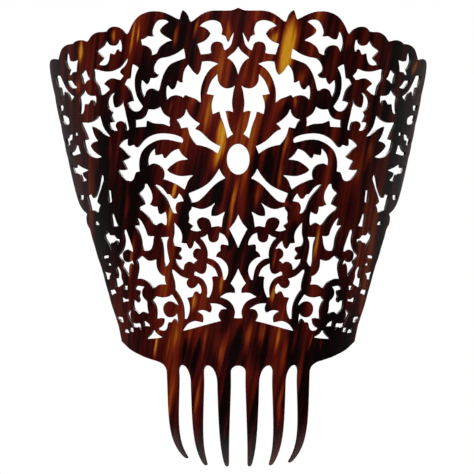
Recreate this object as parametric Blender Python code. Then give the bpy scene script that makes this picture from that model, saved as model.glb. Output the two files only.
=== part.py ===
"""Openwork hair comb: a tall fretsawn crest on a band with six teeth.

The whole comb is one sheet, bent round a cone. It is drawn here as a flat sheet, cut
into named sections, and each section is then rolled round the former.

Sheet coordinates, in millimetres: u runs round the sheet from the centre line, z runs up
from the height of the middle of the crest. Rolled frame: X right, Y from the front
(convex) face towards the head, Z up, origin on the centre line at the roots of the teeth.
"""
import math

import bmesh
import bpy
import numpy as np
from mathutils import Vector
from mathutils.geometry import delaunay_2d_cdt

NAME = "openwork_hair_comb"
MM = 0.001

# ---- driving dimensions, millimetres and degrees --------------------------------------
SHEET_T = 1.6                # thickness of the sheet
R_LOW, Z_LOW = 80.0, -60.0   # former radius at the foot of the crest
R_TOP, Z_TOP = 122.0, 125.0  # former radius near the top rim
Z_EASE = (-70.0, -85.0)      # the former eases from cone to straight tube down here
FACET = 6.0                  # degrees of bend taken by each flat strip
SEAM = 0.3                   # gap between neighbouring sections
ROOT_Z = -75.0               # roots of the teeth, which become Z = 0
SEAM_CREST_Z = -59.8         # band below, crest above
SEAM_TEETH_Z = -78.6         # teeth below, band above
SEAM_SIDE = ((61.2, -61.0), (61.4, -29.2), (65.7, -25.4), (65.7, 0.0), (66.4, 20.0),
             (66.5, 60.0), (66.6, 72.5), (65.6, 75.4), (63.9, 77.2), (63.9, 81.0),
             (64.4, 86.0), (65.6, 90.0), (67.2, 92.5), (67.6, 100.0), (68.2, 119.0))
EDGE_KEEP = 2.0              # least width of sheet outside an opening at the side edge
TOL = 0.20                   # how far a straight run may leave its curve
U_REF = 100.0                # radius the flat sheet is drawn at

TOOTH_ANGLES = (0.107, 0.315, 0.519)   # radians from the centre line
TOOTH_HALF = 3.95            # half width near the root
TIPS_LEFT = (-132.4, -132.0, -128.4)   # where each tooth ends, from the centre outwards
TIPS_RIGHT = (-132.4, -132.0, -130.8)
GAP_TOP_Z = -73.4            # top of the rounded gap between two teeth
FLARE_Z = -84.0              # below this the outer side of a tooth runs straight
TIP_BEND = 15.0              # how far the tips hook in towards the head
TIP_POWER = 5                # how suddenly they do


def former_radius(z):
    """Radius of the front face at height z: a cone that ends in a straight tube."""
    high, low = Z_EASE
    fall = min(max(high - z, 0.0), high - low)
    z = max(z, high) - fall + fall ** 2 / (2 * (high - low))
    return R_LOW + (R_TOP - R_LOW) * (z - Z_LOW) / (Z_TOP - Z_LOW)


# ---- the fretwork -----------------------------------------------------------------------
# Each outline lists "u,z" points of the half to the right of the centre line. A point with
# "!" is a sharp corner; a smooth curve runs through the others.

RIM = """
0,130.8! 1.6,130.1 3.5,129.4 7,129.2 11,129.3 15,129.2 18,128.6 21,127.3 24,125.3 26,123.7
27.5,123! 28.4,124.2 29,126.2 30,127.9 31.3,129.3 32.3,129.9! 33,128.6 33.6,126.5 34.2,124.6!
36,125.3 38.5,126.6 41.5,128 45,129.2 49,129.7 53,129.6 57,128.6 60,127.2 62.5,125
64.5,122.5 66,119.8 67.2,117.9 68.2,117.2! 69.3,118.3 71,120 73.5,121.4 76.5,122 79.5,121.9
81.5,121 83.3,119.5! 86,119.4 90,119.5 93.5,118.8 96.5,117.3 98.5,115.5 99.8,114.6!
102,115.1 105,115.7 109,115.8 112.5,115.2 115,114.2! 119,114.2 123,113.9 127,113
130.5,111.5 133.5,109 135.5,107 136.7,106.1! 142,107 149,107.3 156,106.5 161,103.5
163.5,98.5 163,92 159.5,86! 162,82 161.5,76 157.5,70 155,68! 157,64.5 156.5,60 153,57!
154.5,54 153.5,50.5 149.5,48! 148,42 144.5,35 140,28 134,21.5 126,17 116,13.7! 118.5,11.5
118.5,8 114,4.5! 111.5,-1 108.5,-6 105.5,-12 102,-17 99.5,-22 97,-28 94,-34 91.5,-40
88,-46 84.8,-52! 83.7,-56 82.4,-61.2! 80,-62.3 75,-64.9 70,-66.8 65,-68.3 60,-69.7
53,-71.2 48.5,-72.2
45.8,-73.6 44.3,-75.2
"""

# openings that lie across the centre line, from their top point to their lowest
CENTRE_HOLES = (
    "0,108.7! 1.5,106.4 3,105 5,103.5 6.4,102.2! 4.5,101.2 2.5,99 1,96 0,92.8!",
    "0,12.8! 1.2,10 2.5,7.8 4,6 5.2,4.6! 4.3,3 3,0.5 2,-1.5 1,-3.7 0,-6!",
    """0,-18! 1,-20.5 2.5,-23.3 4.4,-26.5! 3,-28 2,-29.5 1.8,-31 1.8,-32! 4,-31.8 6.5,-32
    8.5,-32.9 10.6,-34.2! 8,-35 5.5,-36.3 3.5,-38.3 2.2,-41 1.8,-43 2.1,-45 2.4,-46.2! 0,-46.3!""",
)
EYE = (0.0, 44.4, 6.55, 8.7)  # oval at the heart of the flower: centre u, z, half width, half height

# openings cut once on each side
HOLES = {
    "rim_a": """2.5,117! 3,114 3.5,112 4,110 5,108.5 6.5,107.2 7.7,106.6! 8.3,108 8.8,110 10,111.2
    12,111.6 14,111.2 15.3,110 15.9,108 15.8,106.3 15.5,105.1! 18,104.6 21.3,104.3! 22,106
    22.5,108 23.5,110.3! 21,111.2 19,112.2 17.3,113.8 16.3,115.2 15.8,116.3! 17,118 19,119.6
    22,120.6! 20.5,122 18,123.2 15,123.8 12.5,123.4 10.5,122.2 9.6,120.3 9.2,118.3 9.4,116.5
    9.8,115.6! 8.5,115.1 7.2,114.3 6.7,112.8 5.9,111.2 5,112.2 4.3,113.8 3.2,115.6""",
    "leaf_drop": """11.5,98.8! 14,99.8 17,100.4 20.7,100.2! 21.2,98 21.5,96 22.3,94 23.5,92.4!
    25,93.5 26.5,95 27.8,96.8 29,98.5! 30.3,97 31.5,94.5 32,92 32.2,90 32.1,88.5! 33.5,88.4
    35.4,89.5! 36,87.3 37,85.3 38.3,84.5 39.5,84.8 40.3,85.8 41.2,86.9! 41.8,86.3 42.2,84
    42.1,81 41.6,78.9! 40.5,80 39,80.8 36.5,81.3 34,81 32.7,80.6 31.8,79.9! 31.2,81.1!
    30,81.2! 27,80 24.5,79.1 21.6,76.9! 21.7,79.5 21.8,82.5 21.2,86.2 19.9,90 18.2,93.2
    16,95.9 13.5,97.8""",
    "arch_b": """31.7,108! 33.5,106.7 36,105.2 39,104 42,103.2 45,102.8 47,102.2 48.7,100.7
    49.8,98.9 50.3,97 49.8,95.3 48.3,94.2 47.3,93.4! 48,92.2 49.5,91.4 51.5,91.3 52.7,91.4!
    53.2,90 54,88.6 54.9,87.9 56,88.6 57.2,89.8 58.5,90.5! 58.9,88 58.7,85.5 58,83 56.7,80.5!
    56,82 55.3,83.7 54,84.9 52,85.5 50,85.3 48.5,84.5 47.2,84! 46.5,85.5 45.8,88.5 45,91
    43.7,94 41.8,97 39.8,99 37,100.3 34,101.3 30.7,102.3! 31,105""",
    "arch_e": """60.2,97.5! 62,98.8 64.3,99.7! 64.9,97 65.3,94 65.8,91.8! 67.8,91.4 68.8,90.5
    69.8,88.8! 67.5,87 65.6,84.7 64.5,82 63.5,78.6! 65,78.5 67.8,77.7! 66.5,75.5 64.5,73.7
    62.5,72.6 60.5,72.7 58.8,73.8 57.6,75.2! 59,77 60.5,79 61.8,81.5 62.8,85 63.1,88.5
    62.9,91.5 62.2,94 61,96.3""",
    "rim_c": """72.7,114! 73.7,114.1 74.5,112.5 76,111.3 78,111 80.5,111.4 82,112.5 83,114!
    84,113 85.5,111.3 88,110 91,108.8! 89,107.3 87.5,106 85.7,104.4! 87,103.2 88.6,102.2
    90,101.4! 88.5,100.4 86,100.1 84,100.4 82.4,101.8 81.5,103.8 81.2,105.5 80.8,106.6!
    79.5,106.7 78.3,106.3 77.3,106! 76.5,107.3 75.5,108.6 74,108.9 72.9,107.8 72.3,107.4!
    71.9,109 72,111.5""",
    "star_a": """99,92.6! 100.5,94.1 101.5,95.8 102.6,98.1! 104,97.2 105.5,96.4 106.7,96!
    105.8,94.7 105.1,93.2 104.8,91.5 104,90.2! 103,91.2 101.5,91.9""",
    "star_b": """105,87.2! 106.3,85.2 108.3,83.9 111,82.8! 110.5,81 110.4,78.5 110.8,76
    112,73! 110,72.7 108,73.5 106.7,75.5 106.1,77.6 105.2,78.4 104,78.4 102,78.1 100.8,78.9
    99.5,80.1 97.5,80.5 96.2,79.9 95.5,78.3 95.1,76.8! 94.4,78.5 94,80.5 94.1,82 94.6,82.8!
    97.5,82.7 100,83 102.5,84.1 104,85.8""",
    "rim_d": """110.3,104.5! 113,104.1 116.5,103.9 119.4,104.4! 120,106.2 120.2,108 121.3,109!
    122.4,107 122.9,104.6 122,102.4 120.5,100.8 118.6,99.4! 120,98.2 120.9,97.1! 120,96.1
    118.8,96.5 117.4,97.4 115,97.6 112.5,97.8! 111.9,100.6 111,103""",
    "slit_a": "113.2,88.4! 116,89.8 118,91.5 119.5,92.6 124.3,93! 121.8,91.5 120,90.2 118,88.9 115.5,88.1",
    "rim_e": """118,83.2! 120.5,84.2 123.5,85.5 127,87.5 130.5,90.5 133.5,93.7 136,96.3!
    140,97 143,97.2 146.5,96.9! 145.6,94.2 145,91.5! 142.5,90.5 139.5,89.8 138.3,87.5
    137.5,84.8 136,83.2 134.5,83.2! 133.3,85 132.2,86.5! 130.3,87 128.5,86.6 126,85
    124.3,82.8 122.2,81! 120.3,82""",
    "flame": """1.8,86.6! 3,85.5 5,84.9 7,84.8 9,85.5 10.6,87 11.6,89 11.9,91 12,93! 13.5,91.3
    15,89.5 16.3,87 17.2,84.5 18,81.8! 16,81.4 13.8,81! 14.3,79.5 14.9,77.5 15.2,75 15,72.5
    14.5,70.2! 13,70.8 11.5,71.5 10.5,71.4! 10,69 9,66.5 8.1,64 7.3,61.5 6.8,59 6.2,56.4!
    4.8,57.5 3,58.7! 4.3,60.8 5.2,63 6,66 6.7,69 7.3,71.8! 5.5,72.1 3,71.3! 3.4,74 3.6,77
    3.3,80 2.7,83.5""",
    "petal_up": """30.2,73.2! 30.7,71 31.8,69.3 33.5,68 35.9,67.3! 34.6,65.8 33.7,64 33,62.3!
    31.5,62.5 29.3,63! 28.7,60.8 28,58.5 26.7,56.2 25.2,54.2 23.8,52.7! 22,52.5 20,52 17,51
    14,49.3 11.8,47.7! 10.9,50 10.2,51.7! 13,53 15.5,54.5 18,56.6 20,58.6 22,60.3 23.5,61.1
    25,61.6! 24,63 22.1,64.7! 24.5,66.2 27,68.3 29,70.6""",
    "bridge": """46.2,74.8! 48,73.8 50.5,73.3 54,73.5! 54.8,71.5 55.8,69.8 57.2,68.6 59,67.9
    61,67.7 62.6,67.5! 62.5,65.5 62.6,63.4! 60,63.5 57.5,63.5 55.6,63.6! 55.4,65.3 55.2,66.8!
    53.8,67 52,66.2 50,65.5 47.5,65.2 44.5,65 42.5,64.5 40.2,63.6! 40.5,66 40.2,68.3!
    42,69.3 44,70.8 45.3,72.8""",
    "crescent": """32.6,54! 32.1,55.3 33,56.8 35.5,58 38,58.7 42,59.3 46,59.5 50,59 54,57.6
    57,55.8 59,54 60.8,52.2 62.3,51.7 63.5,52.3 64.4,53.2 66,53 67.8,52.6 68.8,53.2 69,55
    68.7,56.8! 71,56.3 73.5,55 75.8,53.2! 73.8,52.2 71.5,50.5 69.5,48.8 68,47.5 66.9,46.8!
    68.5,45.5 70.5,44.9 72.9,44.1! 71.5,42.5 70.6,41 69.6,39.2! 72,38.8 74.5,38.8 76.8,39.1!
    75.3,37.3 73.5,35.5 71.5,33.9 69.3,32.7 67.3,32.4 65.5,33.1 64.5,34.6 63.9,36.2 63,37.4
    61.5,37.7 60.5,38! 60.8,40.5 60.7,43.5 60,46.5 58.8,49 57,51 54.8,52.7 52,54.2 48.5,55.5
    45,56 41.5,55.9 38,55.3 35,54.5""",
    "leaf_side": """29.1,44.4! 31,45.6 33,47.5 34.3,49.5 35,50.5! 37,50 39.5,48.7 41.5,47
    43.5,45.2 44.3,45.7 44.8,47 45.3,47.7! 47.5,47.2 49.6,47! 50,49 49.8,51.1! 51.5,50
    53.5,48 54.6,45.5 54.9,43.5 54.5,41! 53,41.8 51,42.4 48.8,42.1 46.5,41 45,39.3 44.2,37
    44.3,35 44.8,33.3! 42,32.7 39,31.5 36,30.2 33.5,28.7 31.3,27.2! 30.3,29.5 29.3,32
    28,33.8 26,35.3! 28.5,35.2 31,34.9 34.5,34.9 37.5,35.7 40.5,37 42.2,38.5! 40.5,40.3
    38,42 35.5,43.4 32.5,44.1""",
    "petal_down": """10.9,39! 12,37 13.5,34.8 15.5,32.3 18,30 20.5,28.4 23.5,27 26.5,25.8
    28.7,25! 28.3,23.5 27.5,22 26.7,19.8! 25.3,19.9 23,20.7 21,22.3 18.5,24.7 16,27.5
    13.5,29.9 11,31.8 9,32.9 7.4,33.6! 8.5,34.8 9.8,36.6""",
    "curl_a": """7.7,14.4! 9.5,13.4 11.5,12.3 13.5,11.9 15.5,12! 15.6,14 15,16.5 13.2,19.6!
    15,18.2 17.5,16.8 20,16 22.5,16 25,16.7 26.8,17.2! 27.2,15.8 28.2,14.7 28.6,13 28.3,11
    28.7,8.5! 27.3,7.5 25.9,6.5! 26.8,5.3 27.7,4.3! 26,3.7 24,3.3 21.4,3.7! 22.7,5 23.7,7
    24,9 23,10.5 21,11.3 18.5,11.1 16.7,10 15.7,8 15.3,5.7! 13.5,6 11.5,6.3 9.6,5.7! 9.3,8
    8.8,11""",
    "fork": """50,30.3! 47.5,29.6 45,28 43.3,26 42,24.4! 40.7,24.5 39.6,23.5 38.8,22.3
    37.5,21.8 36.3,22.3 35.6,23.5 34.7,25! 33.5,23.7 32.5,22 31.9,20.6! 34,20.3 35.8,19.7
    36.8,18 37,16.3 36.5,14.5 36,13.6! 37.5,13.8 38.8,15 40,17 41,19.5 42,21.5 43.5,23.7
    45.5,25.7 47.5,27.8""",
    "star_c": """55.3,30.4! 56.8,30.7! 57.3,28.5 58.5,27 60.9,25.3! 59.3,23.8 58,22 57,20
    56.7,18.9! 58.5,18.2 60.9,17.2! 60,16 57.5,14.5 55,12.5 52.7,10 51,8 49.3,6.9! 48,7.7
    46,8.4 44.5,7.9 42.8,6.8! 42.5,9 42.7,12 43.2,14.4! 44.5,13.8 46,13.1 47.3,13.3 48.2,15
    48.6,17.4! 50.5,17.4 52,17.9 53.8,18.8! 52.8,20 52,22 52,24 52.7,26.3 54,28.5""",
    "horn": """62.4,11.1! 60.3,9.5 58.3,6.8 56.7,3.8 55.7,1.2 54.5,0.5 51,0.5! 51.5,-1.5
    52,-4.5 53.3,-7 55.5,-7.9 57.8,-7.5 58.9,-5.5 59.3,-2.5 60,0.2 61,2.5 62.5,4.7 64.6,6.6!
    62.5,6.6 61,6.7! 61.3,8.5""",
    "disc_side": """73.3,4.4! 74.2,3 73.6,0.5 73.3,-2 74,-5 75.4,-7.5 77.2,-9.3 79.9,-10.9!
    77.5,-12.4 75.8,-13.6 75.1,-14.8! 75.8,-15.8 76.5,-16.7! 74.9,-18.2 73.2,-19.8 71.8,-21.5
    70.8,-22.9! 71,-21 70.9,-19.6 70.6,-17.8 70,-16.2 68.9,-15.2 66.7,-15.8! 67.3,-14.5
    68.3,-13! 69.5,-14.2 71.5,-14.7 73.5,-14.4 74.9,-13.4 75.8,-11.8 76,-10 75.3,-8.8
    73.8,-7.8 71.3,-7.2 69.3,-7.5 67,-8.5! 67.3,-6.5 68.5,-3.5 69.8,-0.5 71,2 72.2,4.2""",
    "kite": """59.8,-11! 61.5,-12.3 63.3,-13.3! 62.3,-15 62,-17.5 62.3,-20 63,-22.3 63.7,-24.2!
    61,-24 58.5,-24.3 56,-25.2 54,-26.5 52.5,-28.2 51.5,-29.3! 50.3,-28.7 49,-27.8
    46.5,-27.2 43.2,-27.2! 44,-25.3 44.1,-22.6! 46,-22 48,-20.3 49.3,-18 49.8,-15.5
    49.8,-13! 51.5,-13.5 54,-13.8 56.5,-13.2 58.3,-12""",
    "reed": """41.3,0! 44,-0.1 46.1,-0.2! 45.1,-2.5 44.5,-5 44.2,-8 44.1,-11 43.9,-14
    43.2,-16.9! 42,-15.8 41,-14! 41.6,-11.5 42.3,-8 42.6,-5 42.4,-2.5""",
    "hook": """5.7,-4.7! 6,-2.5 7,-0.5 8.3,1.2 10.7,2.4! 11,0.5 11.2,-1 12,-2.3 13.5,-3.1
    15,-3.1 16.5,-2.3 17.2,-1 17.5,0.5 17.7,1.6! 19,0.5 21.9,-0.5! 20.3,-2 19,-4 18,-6.3
    17.5,-8.5 17.4,-10.5 17.6,-11.9! 15,-12.5 13,-13.7 11,-15.7 9.7,-18 9,-20.5 8.6,-22.8
    8.3,-24.4! 7.4,-24.4! 6.4,-22.3 5.8,-19.7 6,-17.3 6.9,-15.2 8.5,-13.4 10.5,-12 12.9,-11.3!
    12.5,-10 11.5,-8.7 10.2,-7.8! 10.3,-5.8 9.9,-4.2! 8,-4.2""",
    "sickle": """18.1,-15.2! 16.5,-16 14.5,-17.2 13,-19 12.2,-21 11.7,-22.4! 13.5,-22.3
    15.2,-22.8! 14.8,-25 14.7,-27.5 15,-30 15.7,-32.3 16.7,-34.4! 18,-34.3! 17.7,-31.5
    18,-28.5 19,-26 20.5,-24 22.5,-22.7 25.3,-21.8! 25.5,-20.8 24.6,-19.7! 23,-20.7
    21,-21.2 19.3,-20.6 18.4,-19 18,-17.2""",
    "swirl": """39,-18.6! 37.5,-19.5 35.5,-21.2 33.5,-22.5 31.5,-23.3 29.1,-23.9! 30,-25
    30.3,-26.7 29.5,-28.3 28,-29.3 26.5,-29.4 25,-28.8 23.8,-27.6 23.1,-26.5! 21.9,-28
    21.4,-30 21.4,-31.3 21.9,-32.4! 22.8,-31.6 24.3,-30.9 25.5,-31.5 26.2,-33 26.8,-34.2!
    28.5,-34.4 30,-34.8! 29.2,-36.5 28.5,-39 28.4,-41.5 28.9,-44 29.7,-46 30.3,-46.9!
    31.2,-46.6! 31.3,-43 31.6,-40 32.5,-37 34,-34 35.5,-31.8 37,-30! 37,-28 37.5,-25
    38.5,-22 39.1,-20""",
    "stem_gap": """37.8,8.4! 37.7,5 37.7,2 38.2,0 38.5,-1.5 38.3,-3.3 37.3,-4.8 35.5,-5.4
    34,-5.6 33.3,-6.5 33.5,-7.8 34.9,-9.4! 33.8,-10.7 33,-12.2 33.8,-13.1 35.3,-13
    37,-12.6! 36.5,-14.5 35.5,-16 34,-17.6 32,-18.7! 31.9,-17 31.2,-15.5 30,-14.5 28.3,-14
    26.8,-14.4 25.8,-15.2! 25,-14.2 23.7,-13.3! 25,-12.3 26,-11.3 26.4,-9.7 26,-8 25,-6.9
    23.7,-6.4 21.6,-6.8! 23,-4.7 25.5,-2.2! 26,-4 26.7,-5.7 28,-6.8 29,-6.2 29.8,-4.8
    30.3,-3.7! 32,-3.6 33.5,-3.3! 33.1,-2 32.9,0 33.2,2 34.2,4.2 35.8,6.2""",
    "foot_a": """16,-37.9! 13,-38 10.5,-38.6 8.5,-39.7 6.4,-41.1! 8.5,-41 10,-41.6 11,-43
    11.4,-44.7 11,-46.3 10,-47.8! 14,-48.8 18,-49.9 22,-51 26,-52.1 32.4,-53.7! 31,-51.7
    29.5,-50 27.5,-48.8 25,-48.1 22.5,-48.5 20.3,-49! 20,-47 20.3,-45 21.5,-43.6 23.5,-42.5!
    22,-42 20.5,-41.8 18.5,-42.2 17,-43 16,-43.2! 15.3,-42 15.2,-40""",
    "foot_b": """39.5,-32.9! 41,-33.8 43,-34.5 46,-34.8 49,-34.4 50.5,-34.1! 51.5,-35.3
    52.9,-36.3! 51.3,-38 50.3,-40 49.8,-42.5 49.9,-45 50.1,-47! 48.5,-46.8 46.5,-46.5
    44.9,-46.8! 45.1,-49 46,-50.8 47.5,-52 49.1,-52.6! 47.5,-53.5 45.8,-53.9 44,-53.4
    42.9,-52 42.5,-50 41.7,-48.9 40,-49! 39.2,-47.9 37.8,-46.8 36.8,-47.3 35.6,-49.6!
    35.9,-46.5 36.4,-43.6! 37.5,-45 39,-45.9 40.8,-46.2 42.8,-45.8 44.5,-44.3 45.4,-42.3
    45.4,-40.3 44.5,-38.5 42.8,-37.3 40.7,-36.8 38.5,-37.3 36.8,-38.3 35.4,-39.1!
    36.3,-37.3 38,-35""",
    "foot_c": """58.9,-28.8! 61,-28.5 63.5,-28.3 65,-29 66,-30.2! 64,-30.5 62.3,-31
    62.2,-32.5 63,-34.3! 62.4,-35.5 62.3,-36.7 63,-37.8 64.3,-38 65.5,-37.3 67,-36.7
    67.6,-37.8 67.5,-40 66.8,-41.8 65,-43 62.8,-44.6! 61.7,-43.6 60,-43.2 58,-43.4 56,-44.1!
    56.6,-42 56.9,-39.5 57,-37.5 57.6,-36.7 59.3,-35.5 60.6,-33.5 60.8,-31.5 60.2,-30.2""",
    "foot_d": """70.3,-42.2! 71.8,-42.8 74.3,-44.5! 73.3,-45.8 72.3,-47.3 71.1,-48.8
    70.1,-50.3 69.3,-52! 67.5,-52.2 66,-52.6 64.5,-52 63.4,-52.5 62.2,-53.9! 62.5,-52
    63,-50.3 64.3,-50 66.3,-50.3 68.8,-50 70.3,-48 71.4,-45.8 71.2,-44""",
    "foot_e": "46.2,-57.8! 48.5,-56.7 50.5,-55.5 51.9,-53.8! 52.8,-55.3 54.5,-57 57.3,-58.9! 53,-58.6 49.5,-58.2",
    "foot_f": "59.2,-48.6! 57.5,-49.3 56,-50.3 55,-51.6! 57,-51.5 58.6,-51.3! 58.8,-50",
    "foot_g": "69.6,-52.9! 71.8,-53! 70.8,-54.3 69,-55.3!",
    "foot_h": "73.2,-56! 74.4,-54.4 75.5,-53.8! 76.4,-54.5 77.7,-54.9! 76.2,-55.6 74.7,-55.9",
    "edge_a": "72.2,-36! 74.6,-36.4 76.5,-35.6 78.3,-35.3! 77.8,-36.9 77.7,-38.2! 75.5,-37.6 72.4,-37.4!",
    "edge_b": "72.8,-28.3! 75,-28.6! 74.4,-29.6 73.1,-30.8!",
    "edge_c": """80.8,-17.4! 81.4,-18 80.4,-20 80,-22.6 80.7,-24.1! 83,-24.3! 82.7,-26.4
    82.2,-29.3! 80,-28.7 78.5,-28.1 76.7,-27.2! 77.3,-25.4 78,-24.2 78.3,-22.5 78.2,-20.8
    79.2,-18.9""",
    "edge_d": """78.3,-1.3! 80.5,-1.1 82.2,0.2 83.3,1.1! 85.2,0.9 87,1 88.4,2.2 89.5,3.8!
    91,2.1 93.5,0.8! 92.3,-1.1 90.6,-2.7 88.8,-4.3 87.6,-6.3 86.6,-8.2! 86.5,-6.9 87,-5
    86.9,-3.7 85.6,-3.3 83.7,-3.1 82.5,-2.3 81,-1.9 80,-3 79.3,-4.5! 78.5,-3.2""",
    "edge_e": "90.4,-10.8! 93,-10.9 96,-11.4! 95.3,-12.8! 93,-12.4 90.7,-12.3!",
    "edge_f": "88.2,-16.5! 89.5,-15.5 90.8,-15.8! 89.6,-16.7",
    "edge_g": "89,-21.4! 92.5,-21.1 96.2,-20.5! 94.8,-22.6 94.2,-24.9! 91.4,-24.8! 91,-22.9",
    "edge_h": "84.6,-32.9! 86,-30.8! 91,-31.4! 90.2,-34.2! 88,-33.5 86.5,-33.2",
    "edge_i": "78.6,-49.9! 79.4,-47.2 81.4,-46.8 83.5,-46.5 85.5,-45.4! 84,-46.9 81.3,-48 80,-49.2",
    "wing_a": """91,71! 93.5,69.3 97,68 101,67.4 105,67.3 110.2,67.7! 108,64.8 106,62.3
    104.5,59.9 103.3,57.7! 105.5,57.4 108.4,57.2! 107.8,55 107.2,53 106,51 103.5,49.2
    100.7,47.7 97.3,46.7 94.5,46.4 91.1,46.9! 94.3,48.1 97.2,49.5 100,51.3 102.3,53.4!
    101,54.7 98.7,55.6 94.2,56.3! 95.7,57.6 97.4,59.8 98.7,62.3 99.5,64.8! 96.3,64.7 93,63.9
    90,62.4 87,60.5 82.8,58.6! 85,60.5 87.5,63 89.3,66 90.3,69""",
    "inner_a": """71,79.5 72.3,77.5! 74,76.2 76,75.4 78.2,75.2! 79,77 79.5,79.5 79.3,82
    77.6,83.9! 80,83.3 82,81.7 83.3,79.8 83.6,77.5 82.8,75.3 81,73.7 79.7,72.8! 80.5,71.8
    81.1,70.8! 80.3,69 79.5,67.9 79,66.8! 80.8,66.8 83,66.6! 82.5,65 81,63.3 79.3,62.3
    77,61.7 76.6,62.1! 77.8,64 77.8,65.3 76.8,66.5 75,67.2 72.8,67.3 71,66.7 70,65.3
    69.6,63.6 69.4,62.2 68.6,61.8 67.8,62.4 68.2,65 69,68 69.8,71 70.6,74.5 71.5,77!""",
    "wing_b": """116.1,49.5! 117.4,51.6 118.6,54.8! 121,54 122.7,52.5 125.3,51.5 128.3,51
    132.3,50.5! 130,49.3 126.5,48.8 121.3,49.1""",
    "wing_c": """126,61.1! 128.7,61.3 132.3,60.9 133.7,60 137,59.4 141,59.2! 139.5,57.8
    138.5,56.2 135,55.1 133,55.3! 133.7,57 132,57.8 129.2,57.9 127.5,58.6""",
    "wing_d": """107,39.4! 111,40.3 115,41.1 118.5,42 122,43 125.3,43.5! 126.5,41.9
    128.3,41.3 133,42 138,43.2! 134.5,41 131,39.3 128.5,38.3 124.5,37.9 120,37.3 118.5,35.7
    117.3,33.8 115.5,33.1 110.5,33.6! 113.3,35 115.2,36.3 115.8,37.8 113,38.5""",
    "wing_e": """92,36.8! 93.4,34.5 94.4,32 95.6,29.3 97.6,26.5 99.3,24.5 101,23.4 103,23
    105,23.6 105.8,25.3! 108,25 111,24.7! 109.8,22.5 109,20 108.2,18 107.6,15.9! 105,15.8
    102.5,15.6 99.5,14.8 98.4,14.6! 97.5,16.7 96.9,17.6 95.6,18.6! 97.2,19.4 99.3,20.6!
    98.7,22 97.8,23.3 96.2,25.5 94.2,28 92.4,30.8 90.7,33.5 90.8,35.5""",
    "wing_f": "118.3,24.7! 121.5,25.1 126,24.8! 123.5,23.2 120.3,22.1!",
    "wing_g": "98.8,7.2! 101,9 103.3,9! 101,7.2",
    "slit_b": "84.5,27.5! 85.7,27! 85.4,23.5 84.9,20! 83.8,20.8! 84.1,24",
    "slit_c": "82.7,13.6! 83.4,12.5 82.8,9 82.6,6.3! 80.5,6.2 79,6.5! 80.3,8.5 81.5,11",
    "slit_d": "117.8,60.3! 118.2,62.1! 120.4,62! 120.2,60.3!",
    "wing_h": "137.5,78.3! 140.5,79.4 147,79.3! 144.5,76.6 141,76.1 139,76.7",
    "wing_i": "129.7,71! 136,72.8 144.5,73.3! 142,70.3 138,68.8 133,67.5 130.5,67.5 129.3,69",
}

# openings whose two sides differ: (left, right)
ODD_HOLES = {
    "rim_b": (
        """40.8,123.3! 42.5,124.3 45,124.7 47.3,124.2 49,122.5 50.2,120 50.7,118 50.4,116.5
        49.8,115.6! 51.5,115.2 53.7,115.5 55,114.8 56.5,114.1 58.4,113.7! 57.9,112 57.4,110.6!
        54.5,110.2 52.5,109 51.3,107 51.1,104.6! 49.5,105 48,105.8! 47.3,107.5 46,109.3
        43.5,111 41.5,112 38.8,112.6! 41,114 43.5,115.4 45.5,117 46.2,118.5 45,120.3
        42.8,122""",
        """40.8,123.3! 42.5,124.3 45,124.7 47.3,124.2 49,122.5 50.2,120 50.7,118 50.4,116.5
        49.8,115.6! 51.5,115.2 53.7,115.5 55,114.8 56.5,114.1 58.3,113.7! 59.5,114 60.3,115.5
        60.9,117.5 61.3,118.5! 62.3,117 63.2,114.5 63.4,112 63,110 62.2,107.8 61.8,107!
        61,108.7 59.8,110 57,110.5 54.5,110.2 52.5,109 51.3,107 51.1,104.6! 49.5,105
        48,105.8! 47.3,107.5 46,109.3 43.5,111 41.5,112 38.8,112.6! 41,114 43.5,115.4
        45.5,117 46.2,118.5 45,120.3 42.8,122""",
    ),
    "arch_c": (
        """71,93.2! 72.5,91.9 73,91.1! 75.5,91.8 78.5,92.3 81.5,92 84,91 86.6,89.2! 84.5,88
        82.5,86.5 81.9,85.7! 84,84.6 86,83.4 88.5,82.8! 89,85 89.8,87.8 91.3,89.8 93,91.5
        93.7,93 93.6,96 94.1,98.2! 91,97.5 88,96.8 84.5,96.3 81,96.3 78,96.6 75.5,97.3
        73,98.3 71,99.8 69,102 67.5,103.2! 68.5,100.7 70.3,98.6 72.7,97 73.5,95.5""",
        """71,93.2! 72.5,91.9 73,91.1! 75.5,91.8 78.5,92.3 81.5,92 84,91 86.6,89.2! 84.5,88
        82.5,86.5 81.9,85.7! 84,84.6 86,83.4 88.5,82.8! 89,85 89.8,87.8 91.3,89.8 93,91.5
        93.7,93 93.6,96 94.1,98.2! 91,97.5 88,96.8 84.5,96.3 81,96.3 78,96.6 75.5,97.3
        74.4,97.5! 74,96.2 73,95""",
    ),
}


def read_points(text):
    """Points and corner flags of one outline."""
    rows = []
    for token in text.split():
        sharp = token.endswith("!")
        u, z = token.rstrip("!").split(",")
        rows.append((float(u), float(z), sharp))
    return rows


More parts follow.
